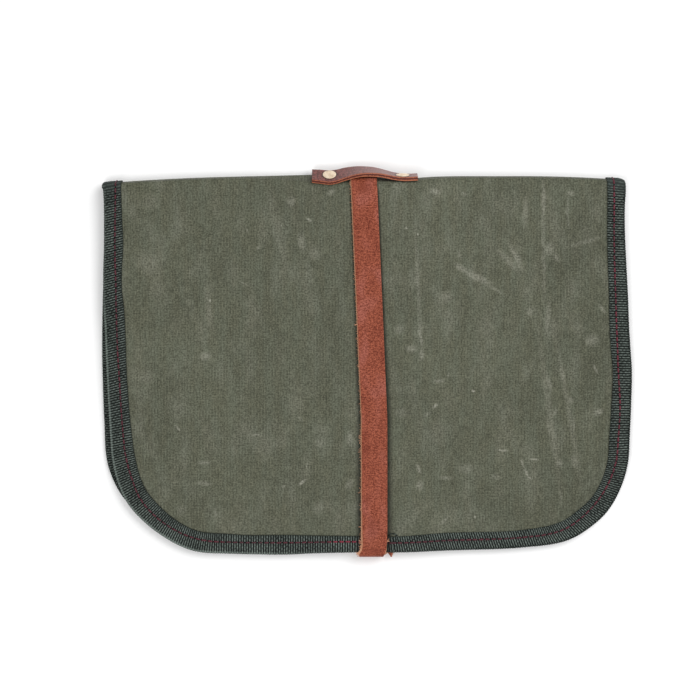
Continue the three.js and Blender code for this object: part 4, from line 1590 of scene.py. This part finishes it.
@dataclass(frozen=True)
class Strap:
    """The flat leather strap right round the roll, its two ends lapped and sewn behind."""

    form: RollForm  # the form that it follows
    width: float = 17.2 * MM
    slant: float = 0.7 * MM  # how far its left edge slopes out from its face
    undercut: float = 0.5 * MM  # how far its right edge is cut in below its face
    rounding: float = 0.35 * MM  # how far from its corners they are rounded
    spans: tuple[int, int, int, int] = (14, 3, 14, 4)  # spans of its section's sides
    bevel_share: float = 0.4  # share of its width over which a bevelled edge draws its face in
    turn_reach: float = 2.2 * MM  # how far it stands out past the open edge
    turn_length: float = 11.0 * MM  # length of the turn along the strap
    tape_reach: float = 11.8 * MM  # how far in from the open edge the tape under it reaches
    bridge: float = 30.0 * MM  # how far from the tape it starts to rise
    cant: float = 1.0 * MM  # how much higher its right edge stands than its left one on the front run
    cant_ease: float = 40.0 * MM  # distance from each end of that run over which it cants
    step: float = 1.5 * MM  # spacing of its sections along the flat runs
    turn_steps: int = 40  # sections round the open edge
    fold_steps: int = 30  # sections over the fold
    fibres: int = 420  # loose fibres along its left cut edge
    fibre_length: float = 0.9 * MM
    fibre_radius: float = 0.06 * MM
    fibre_rise: float = 0.25 * MM  # how far a fibre bows up
    fibre_stray: float = 0.7  # how far it strays along the edge, for 1 aside
    fibre_least: Triple = (0.3, 1.0, 0.2)  # smallest scale of a fibre
    fibre_most: Triple = (1.5, 1.0, 1.5)  # largest scale of a fibre
    tuft_size: float = 1.6  # how much larger the fibres of a tuft are
    tuft_spread: float = 0.5 * MM  # how far apart they stand
    seed: int = 11  # seed of their places

    def outline(self) -> Array:
        """Lays out the strap's section, as places across, heights and cut edges."""
        half, wall = self.width / 2, self.form.strap_wall / 2
        corners = np.array((
            (-half + self.slant, wall), (half, wall), (half - self.undercut, -wall), (-half, -wall),
        ))
        return rounded_outline(corners, self.rounding, self.spans)

    def edges(self, past: float) -> list[float]:
        """Gives where the strap's edges lie at a distance past the open edge, and their bevels."""
        return [float(charted(TURN_EDGES, c, past / MM)) * MM for c in TurnEdge._fields[1:]]

    def front_surface(self, s: float, x: Array) -> Patch:
        """Gives the strap's middle layer on the front run, which rises to cross the tape.

        Args:
            s: Distance from the crest.
            x: Places across.

        Returns:
            The places there.
        """
        form = self.form
        *_, top_s, _ = form.fold_section(form.strap_fold_x)
        on_tape = form.open_edge - self.tape_reach
        rise = form.tape_step * smoothstep(s, on_tape - self.bridge, on_tape)
        offset = form.canvas_wall / 2 + form.gap + form.strap_wall / 2 + rise
        cant = self.cant * smoothstep(s, top_s, top_s + self.cant_ease)
        cant *= 1 - smoothstep(s, form.open_edge - self.cant_ease, form.open_edge)
        share = np.clip((x - form.front_strap_x(s)) / self.width + 0.5, 0, 1)
        return form.half_patch(FRONT, x, np.full_like(x, s)).raised(offset + cant * share)

    def fold_surface(self, turn: float, x: Array) -> Patch:
        """Gives the strap's middle layer over the fold, by how far round it and places across."""
        lift = self.form.canvas_wall / 2 + self.form.gap + self.form.strap_wall / 2
        return self.form.fold_patch(x, turn).raised(lift)

    def stations(self) -> list[Station]:
        """Lists the strap's sections from its inner end round the roll to its outer end.

        Returns:
            The sections.
        """
        form, wall, step = self.form, self.form.strap_wall, self.step
        *_, top_s, back_s = form.fold_section(form.strap_fold_x)
        top = float(form.open_edge_height(form.strap_open_x)) + form.tape_half + form.gap + wall / 2
        reach = (top - wall / 2) / 2
        drop_from, drop_to = form.lap_outer + form.gap, form.lap_outer + form.lap_step

        def on_floor(s: float, z: float) -> Station:
            """Gives a section of the rear run."""
            return Station(partial(level_surface, -s, z, (0.0, -1.0)), float(form.rear_strap_x(s)))

        def over_lap(s: float) -> Station:
            """Gives a section of the rear run that lies on the strap's outer end, then comes down."""
            return on_floor(s, wall * 1.5 + form.gap - (wall + form.gap) * smoothstep(s, drop_from, drop_to))

        def round_edge(angle: float) -> Station:
            """Gives a section round the open edge."""
            out, up = np.sin(np.radians(angle)), np.cos(np.radians(angle))
            facing = unit(np.array((0.0, -out / self.turn_reach, up / reach)))[1:]
            y, z = -form.open_edge - self.turn_reach * out, wall / 2 + reach + reach * up
            surface = partial(level_surface, y, z, facing)
            return Station(surface, form.strap_open_x, *self.edges(self.turn_length * angle / 180))

        def on_front(s: float) -> Station:
            """Gives a section of the front run."""
            surface = partial(self.front_surface, s)
            return Station(surface, float(form.front_strap_x(s)), *self.edges(s - form.open_edge))

        def over_fold(turn: float) -> Station:
            """Gives a section over the fold."""
            return Station(partial(self.fold_surface, turn), form.strap_fold_x)

        stations = [over_lap(s) for s in np.arange(form.lap_inner, form.open_edge, step)]
        stations += [round_edge(angle) for angle in np.linspace(180, 0, self.turn_steps + 1)]
        stations += [on_front(s) for s in np.arange(form.open_edge - step, top_s, -step)]
        stations += [over_fold(turn) for turn in np.linspace(0, 3, self.fold_steps + 1)]
        return stations + [on_floor(s, wall / 2) for s in np.arange(back_s + step, form.lap_outer, step)]

    def build(self) -> list[Piece]:
        """Makes the strap, the stitches of its lap and the fibres of its edges."""
        outline = self.outline()
        share = outline[:, 0] / self.width + 0.5
        height = outline[:, 1] / self.form.strap_wall + 0.5
        by_left = height * np.clip(1 - share / self.bevel_share, 0, 1)
        by_right = height * np.clip(1 - (1 - share) / self.bevel_share, 0, 1)
        rings, middles = [], []
        for station in self.stations():
            bevel = by_left * station.left_bevel - by_right * station.right_bevel
            x = station.middle + outline[:, 0] + lerp(station.left, station.right, share) + bevel
            rings.append(station.surface(x).lifted(outline[:, 1]))
            centre = station.surface(np.array((station.middle,)))
            middles.append(centre.lifted(self.form.strap_wall / 2)[0])
        points = self.form.settle(np.array(rings))
        along = lengths_along(np.array(middles))
        shell = Shell.swept(points, stack(outline[:, 0], along[:, None], outline[:, 1]), cut=outline[:, 2])
        strap = shell.piece("strap_band", STRAP_LEATHER.material(self.stains_and_shade))
        return [strap, self.torn_tip(strap), self.lap_stitches(), self.loose_fibres(points, outline, strap)]

    def torn_tip(self, strap: Piece) -> Piece:
        """Makes the sliver of leather that has torn loose from the strap's right edge at its turn.

        Args:
            strap: The strap, whose material it shares.

        Returns:
            The sliver.
        """
        places = {
            "left": (13.0, 14.0, 16.1), "right": (16.9, 17.8, 16.8), "s": (238.6, 243.0, 245.9),
            "low": (2.2, 3.2, 3.4), "wall": (1.5, 1.3, 0.6),
        }
        parts = np.linspace(0, 1, 9)
        left, right, s, low, wall = (np.interp(parts, (0, 0.5, 1), row) * MM for row in places.values())
        middle = (left + right) / 2
        corners = ((left, 0.0), (middle, 0.0), (right, 0.0), (right, 1.0), (middle, 1.3), (left, 1.0))
        rings = np.stack([stack(x, -s, low + wall * high) for x, high in corners], axis=1)
        rings = self.form.settle(rings)
        shell = Shell.swept(rings, rings, cut=np.array((0.5, 0.0, 0.8, 0.8, 0.2, 0.5)))
        return shell.piece("strap_tip", strap.data.materials[0])

    def stains_and_shade(self, shader: Shader) -> Signal:
        """Gives stain marks on the strap, and painted shade just below the keeper, by place on the roll."""
        place = shader.vector("SUBTRACT", shader.place(), self.form.origin)
        return shader.marks(place, STRAP_STAINS_AND_SHADE, 1.0)

    def lap_stitches(self) -> Piece:
        """Sews the lap behind with two rows across it, near each end of it."""
        margin, inside, height = 2.5 * MM, 5 * MM, 0.35 * MM
        rows = []
        for s in (self.form.lap_inner + inside, self.form.lap_outer - inside):
            x = float(self.form.rear_strap_x(s)) + np.linspace(-1, 1, 30) * (self.width / 2 - margin)
            rows.append((self.form.settle(stack(x, -s, height)), stack(0 * x, 0.0, -1.0)))
        seam = Seam("lap_stitches", pitch=3.6 * MM, length=2.8 * MM, radius=0.3 * MM, rise=0.2 * MM)
        return seam.build(rows, StitchThread().material())

    def loose_fibres(self, points: Array, outline: Array, strap: Piece) -> Piece:
        """Raises loose fibres along the left cut edge of the front run, and tufts of longer ones.

        Args:
            points: The strap's sections.
            outline: Its section.
            strap: The strap, whose material they share.

        Returns:
            The fibres.
        """
        chance = np.random.default_rng(self.seed)
        cut = outline[:, 2] > 0.6
        sides = {-1: np.flatnonzero(cut & (outline[:, 0] < 0)), 1: np.flatnonzero(cut & (outline[:, 0] > 0))}
        front_above = 6 * MM
        front = np.flatnonzero(points[:, 0, 2] > front_above)
        down = self.form.origin[1] - points[front, 0, 1]
        spots = [points[chance.choice(front, self.fibres), chance.choice(sides[-1], self.fibres)]]
        aside, size = [np.full(self.fibres, -1.0)], [np.ones(self.fibres)]
        for tuft in TUFTS:
            at = tuft.s * MM + chance.normal(0, self.tuft_spread, tuft.fibres)
            nearest = front[np.argmin(np.abs(down[None] - at[:, None]), axis=1)]
            spots.append(points[nearest, chance.choice(sides[tuft.side], tuft.fibres)])
            aside.append(np.full(tuft.fibres, float(tuft.side)))
            size.append(np.full(tuft.fibres, self.tuft_size))
        spots, aside, size = np.concatenate(spots), np.concatenate(aside), np.concatenate(size)
        count = len(spots)
        values = {
            "run": unit(stack(aside, chance.normal(0, self.fibre_stray, count), 0.1)),
            "out": np.tile((0.0, 0.0, 1.0), (count, 1)),
            "size": np.tile(size[:, None], (1, 3)),
            "flat": spots,
            "cut": np.ones(count),
        }
        roots = Shell(spots, [], values).piece("strap_fibres")
        sizes = {"Length": self.fibre_length, "Radius": self.fibre_radius, "Rise": self.fibre_rise}
        making = Making("strap_fibres", sizes)
        length = making.size("Length")
        top = making.point(length * 0.5, making.size("Rise"))
        hair = making.strand((0.0, 0.0, 0.0), top, making.point(length), 3)
        varied = making.spread(self.fibre_least, self.fibre_most, self.seed)
        scale = making.vector("MULTIPLY", varied, making.carried("size"))
        return making.run(making.sown(hair, making.facing(), scale), roots, strap.data.materials[0])


class ArchSpot(NamedTuple):
    """The keeper at x: lift off the seat, lean in degrees, slide to the front, and painted sheen on its
    face.
    """

    x: float
    lift: float
    lean: float
    slide: float
    rub: float


KEEPER_ARCH = tuple(ArchSpot(x * MM, lift * MM, lean, slide * MM, rub) for x, lift, lean, slide, rub in (
    (-34.8, 0.2, 52.5, 0.3, 0), (-31, 0.1, 51, 0.4, 0), (-23, 0, 48.5, 1, 0.05), (-19, 0.4, 50, 0.7, 0.1),
    (-13.5, 1.7, 53, 0.1, 0.2), (-5, 3, 61, 0, 0.4), (0, 3.1, 64.5, 0, 0.5), (5, 2.9, 66.5, 0, 0.7),
    (9, 2.4, 69.5, 0, 0.8), (13.5, 1.5, 71.5, 0, 0.8), (18.5, 0.5, 73, 0.1, 0.6), (24, 0, 73.5, 0.8, 0.5),
    (29, -0.1, 74.5, 1.4, 0.6), (33.2, -0.2, 75, 1.6, 0.6),
))


@dataclass(frozen=True)
class Keeper:
    """The leather tab along the fold that arches over the strap."""

    form: RollForm  # the form that it sits on
    left: float = -34.8 * MM
    right: float = 33.2 * MM
    width: float = 12.5 * MM  # its width over the fold
    wall: float = 2.7 * MM  # its thickness
    seat: float = 0.4 * MM  # space between it and the canvas
    rounding: float = 0.4 * MM  # how far from its corners they are rounded
    spans: tuple[int, int, int, int] = (12, 3, 12, 3)  # spans of its section's sides
    step: float = 0.6 * MM  # spacing of its sections
    on_fold: float = 1.5  # where its middle lies over the fold, as a Row's turn
    pressed: tuple[float, float] = (0.2 * MM, 1.2 * MM)  # past a rivet's cap, where its dark ring fades out

    def underside(self, x: Array) -> tuple[Array, Array, Array]:
        """Works out where the keeper's underside lies over the middle of the fold.

        Args:
            x: Places across.

        Returns:
            Points, outward normals, and the directions over the fold to the back.
        """
        lean = np.radians(charted(KEEPER_ARCH, "lean", x))
        normal = stack(0 * x, np.sin(lean), np.cos(lean))
        over = stack(0 * x, np.cos(lean), -np.sin(lean))
        base = self.form.canvas_wall / 2 + self.seat + charted(KEEPER_ARCH, "lift", x)
        return self.form.fold_patch(x, self.on_fold).point + normal * base[:, None], normal, over

    def build(self) -> Piece:
        """Makes the keeper."""
        half = self.width / 2
        corners = np.array(((-half, self.wall), (half, self.wall), (half, 0.0), (-half, 0.0)))
        outline = rounded_outline(corners, self.rounding, self.spans)
        x = np.linspace(self.left, self.right, int((self.right - self.left) / self.step))
        points, normal, over = self.underside(x)
        across = outline[None, :, 0] - charted(KEEPER_ARCH, "slide", x)[:, None]
        rings = points[:, None] + over[:, None] * across[..., None] + normal[:, None] * outline[None, :, 1:2]
        flat = stack(across, x[:, None], outline[:, 1])
        # how strongly sheen is painted, most over the arch and the right end
        rub = charted(KEEPER_ARCH, "rub", x)[:, None]
        shell = Shell.swept(self.form.settle(rings), flat, cut=outline[:, 2], rub=rub)
        return shell.piece("keeper_tab", KEEPER_LEATHER.material(self.stains_and_shade))

    def stains_and_shade(self, shader: Shader) -> Signal:
        """Gives how strongly a ring round each rivet darkens: pressed leather and painted shade."""
        flat = shader.attribute("flat")
        x = shader.axis(flat, "Y")
        along = abs(x) - Rivets.x
        aside = shader.axis(flat, "X") + (x > 0.0) * Rivets.right_slide
        away = (along**2.0 + aside**2.0) ** 0.5
        inner, outer = (Rivets.cap_radius + past for past in self.pressed)
        return away.ease(inner, outer, 1.0, 0.0)


@dataclass(frozen=True)
class Rivets:
    """The two rivets through the keeper and the canvas."""

    keeper: Keeper  # the keeper that they hold
    x: float = 23.5 * MM  # from the middle of the keeper to each rivet
    cap_radius: float = 4.35 * MM
    cap_dome: float = 0.65 * MM  # height of the cap's dome
    cap_rim: float = 0.35 * MM  # height of its rim
    right_slide: float = 1.6 * MM  # how far the right rivet lies to the front of the fold's middle
    post_radius: float = 1.7 * MM
    back_radius: float = 3.1 * MM  # radius of the cap behind
    back_wall: float = 0.9 * MM  # thickness of that cap
    back_gap: float = 0.6 * MM  # from the inside of the canvas to it
    sides: int = 48  # points round each rivet

    def outline(self) -> Array:
        """Lays out a rivet's outline from the top of its dome to its back's middle, as radius and height."""
        depth = self.keeper.wall + self.keeper.seat + self.keeper.form.canvas_wall + self.back_gap
        bend = 0.15 * MM
        dome = [
            (self.cap_radius * np.sin(a), self.cap_rim + self.cap_dome * np.cos(a))
            for a in np.linspace(0, np.pi / 2, 14)
        ]
        return np.array(dome + [
            (self.cap_radius, self.cap_rim - bend), (self.cap_radius, bend), (self.cap_radius - bend, 0.0),
            (self.post_radius, 0.0), (self.post_radius, -depth), (self.back_radius - bend, -depth),
            (self.back_radius, -depth - bend), (self.back_radius, -depth - self.back_wall + bend),
            (self.back_radius - bend, -depth - self.back_wall), (0.0, -depth - self.back_wall),
        ])

    def build(self) -> list[Piece]:
        """Makes both rivets."""
        material = PaleBrass().material()
        left = self.rivet("rivet_cap_left", -self.x, 0.0, material)
        return [left, self.rivet("rivet_cap_right", self.x, self.right_slide, material)]

    def rivet(self, name: str, x: float, slide: float, material: Material) -> Piece:
        """Turns one rivet about its own axis, which stands on the keeper's face.

        Args:
            name: The piece's name.
            x: Where it stands.
            slide: How far it lies to the front of the fold's middle.
            material: Its finish.

        Returns:
            The rivet.
        """
        form, keeper = self.keeper.form, self.keeper
        (under,), (axis,), (over,) = keeper.underside(np.array((x,)))
        centre = under + axis * keeper.wall - over * slide
        aside = np.array((1.0, 0.0, 0.0))
        outline = self.outline()[1:-1]
        angles = np.linspace(0, 2 * np.pi, self.sides, endpoint=False)
        spokes = np.cos(angles)[:, None] * aside + np.sin(angles)[:, None] * over
        rings = centre + outline[:, :1, None] * spokes[None] + outline[:, 1:, None] * axis
        ends = centre + self.outline()[[0, -1], 1:] * axis
        count = len(outline)
        faces = swept_faces(count, self.sides)[:-2]
        top, bottom = count * self.sides, count * self.sides + 1
        for j in range(self.sides):
            k = (j + 1) % self.sides
            faces.append((k, j, top))
            faces.append(((count - 1) * self.sides + j, (count - 1) * self.sides + k, bottom))
        points = form.settle(np.concatenate((rings.reshape(-1, 3), ends)))
        return Shell(points, faces, {}).piece(name, material)


class Lamp(NamedTuple):
    """A square studio light: its place, its width and its power in watts."""

    name: str
    place: Triple
    width: float
    power: float


@dataclass(frozen=True)
class Studio:
    """The floor, the lights and the camera."""

    camera_place: Triple = (-10.57 * MM, 7.57 * MM, 1.2)  # looking straight down
    lens: float = 95.0  # its focal length in millimetres
    sensor: float = 36.0  # its sensor's width in millimetres
    sky: float = 0.58  # strength of the even light from all round
    lamps: tuple[Lamp, ...] = (  # the soft lights
        Lamp("key", (0.65, 0.5, 1.15), 0.9, 11.0),
        Lamp("fill", (-0.3, -0.5, 1.25), 0.5, 5.3),
    )
    floor_half: float = 3.0  # half the width of the floor
    floor_drop: float = 0.2 * MM  # how far the floor lies below the roll, to keep their faces apart

    def camera(self) -> None:
        """Sets up the camera at the photograph's angle."""
        data = bpy.data.cameras.new("camera")
        data.lens = self.lens
        data.sensor_width = self.sensor
        made = placed("camera", data)
        made.location = self.camera_place
        bpy.context.scene.camera = made

    def lights(self) -> None:
        """Hangs the lamps and sets the even light and the plain view of colours."""
        scene = bpy.context.scene
        world = bpy.data.worlds.new("studio")
        world.use_nodes = True
        even = world.node_tree.nodes["Background"].inputs
        even["Color"].default_value = (1.0, 1.0, 1.0, 1.0)
        even["Strength"].default_value = self.sky
        scene.world = world
        scene.view_settings.view_transform = "Standard"
        for lamp in self.lamps:
            data = bpy.data.lights.new(lamp.name, "AREA")
            data.energy = lamp.power
            data.size = lamp.width
            made = placed(lamp.name, data)
            made.location = lamp.place
            made.rotation_euler = (-Vector(lamp.place)).to_track_quat("-Z", "Y").to_euler()

    def floor(self) -> None:
        """Lays the floor."""
        corners = np.array(((-1, -1), (1, -1), (1, 1), (-1, 1))) * self.floor_half
        points = stack(corners[:, 0], corners[:, 1], -self.floor_drop)
        floor = Shell(points, [(0, 1, 2, 3)], {}).piece("floor", PaperFloor().material())
        floor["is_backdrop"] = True


def hand_over(pieces: list[Piece], node: str) -> None:
    """Puts a sub-assembly's finished pieces on the roll's body.

    Args:
        pieces: The pieces.
        node: The CAD node that the first of them stands for.
    """
    for piece in pieces:
        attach(piece, "root")
        if piece is pieces[0]:
            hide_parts(node)
        piece.data.calc_loop_triangles()
        LOG.info("%s: %d triangles", piece.name, len(piece.data.loop_triangles))


def main() -> None:
    """Builds the scene, piece by piece."""
    logging.basicConfig(level=logging.INFO, format="%(message)s")
    studio = Studio()
    studio.camera()
    form = form_in_frame()
    LOG.info("form settled at %s", form.origin)

    sheet = CanvasSheet(form, Strap.width / 2)
    canvas = sheet.build()
    hand_over([canvas], "canvas_sheet")
    binding = EdgeBinding(form, Strap.width / 2).build()
    hand_over(binding, "edge_binding")
    hand_over(Strap(form).build(), "strap")
    keeper = Keeper(form)
    hand_over([keeper.build()], "strap_keeper")
    for rivet, node in zip(Rivets(keeper).build(), ("rivet_left", "rivet_right")):
        hand_over([rivet], node)

    width, length, area = sheet.flat_size()
    LOG.info("canvas cut to %.4f by %.4f m, %.4f square metres", width, length, area)

    studio.floor()
    studio.lights()
    boxes = {"cad": CAD_BOX, "visual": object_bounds()}
    lists = {name: [[float(v) for v in corner] for corner in box] for name, box in boxes.items()}


if __name__ == "__main__":
    main()
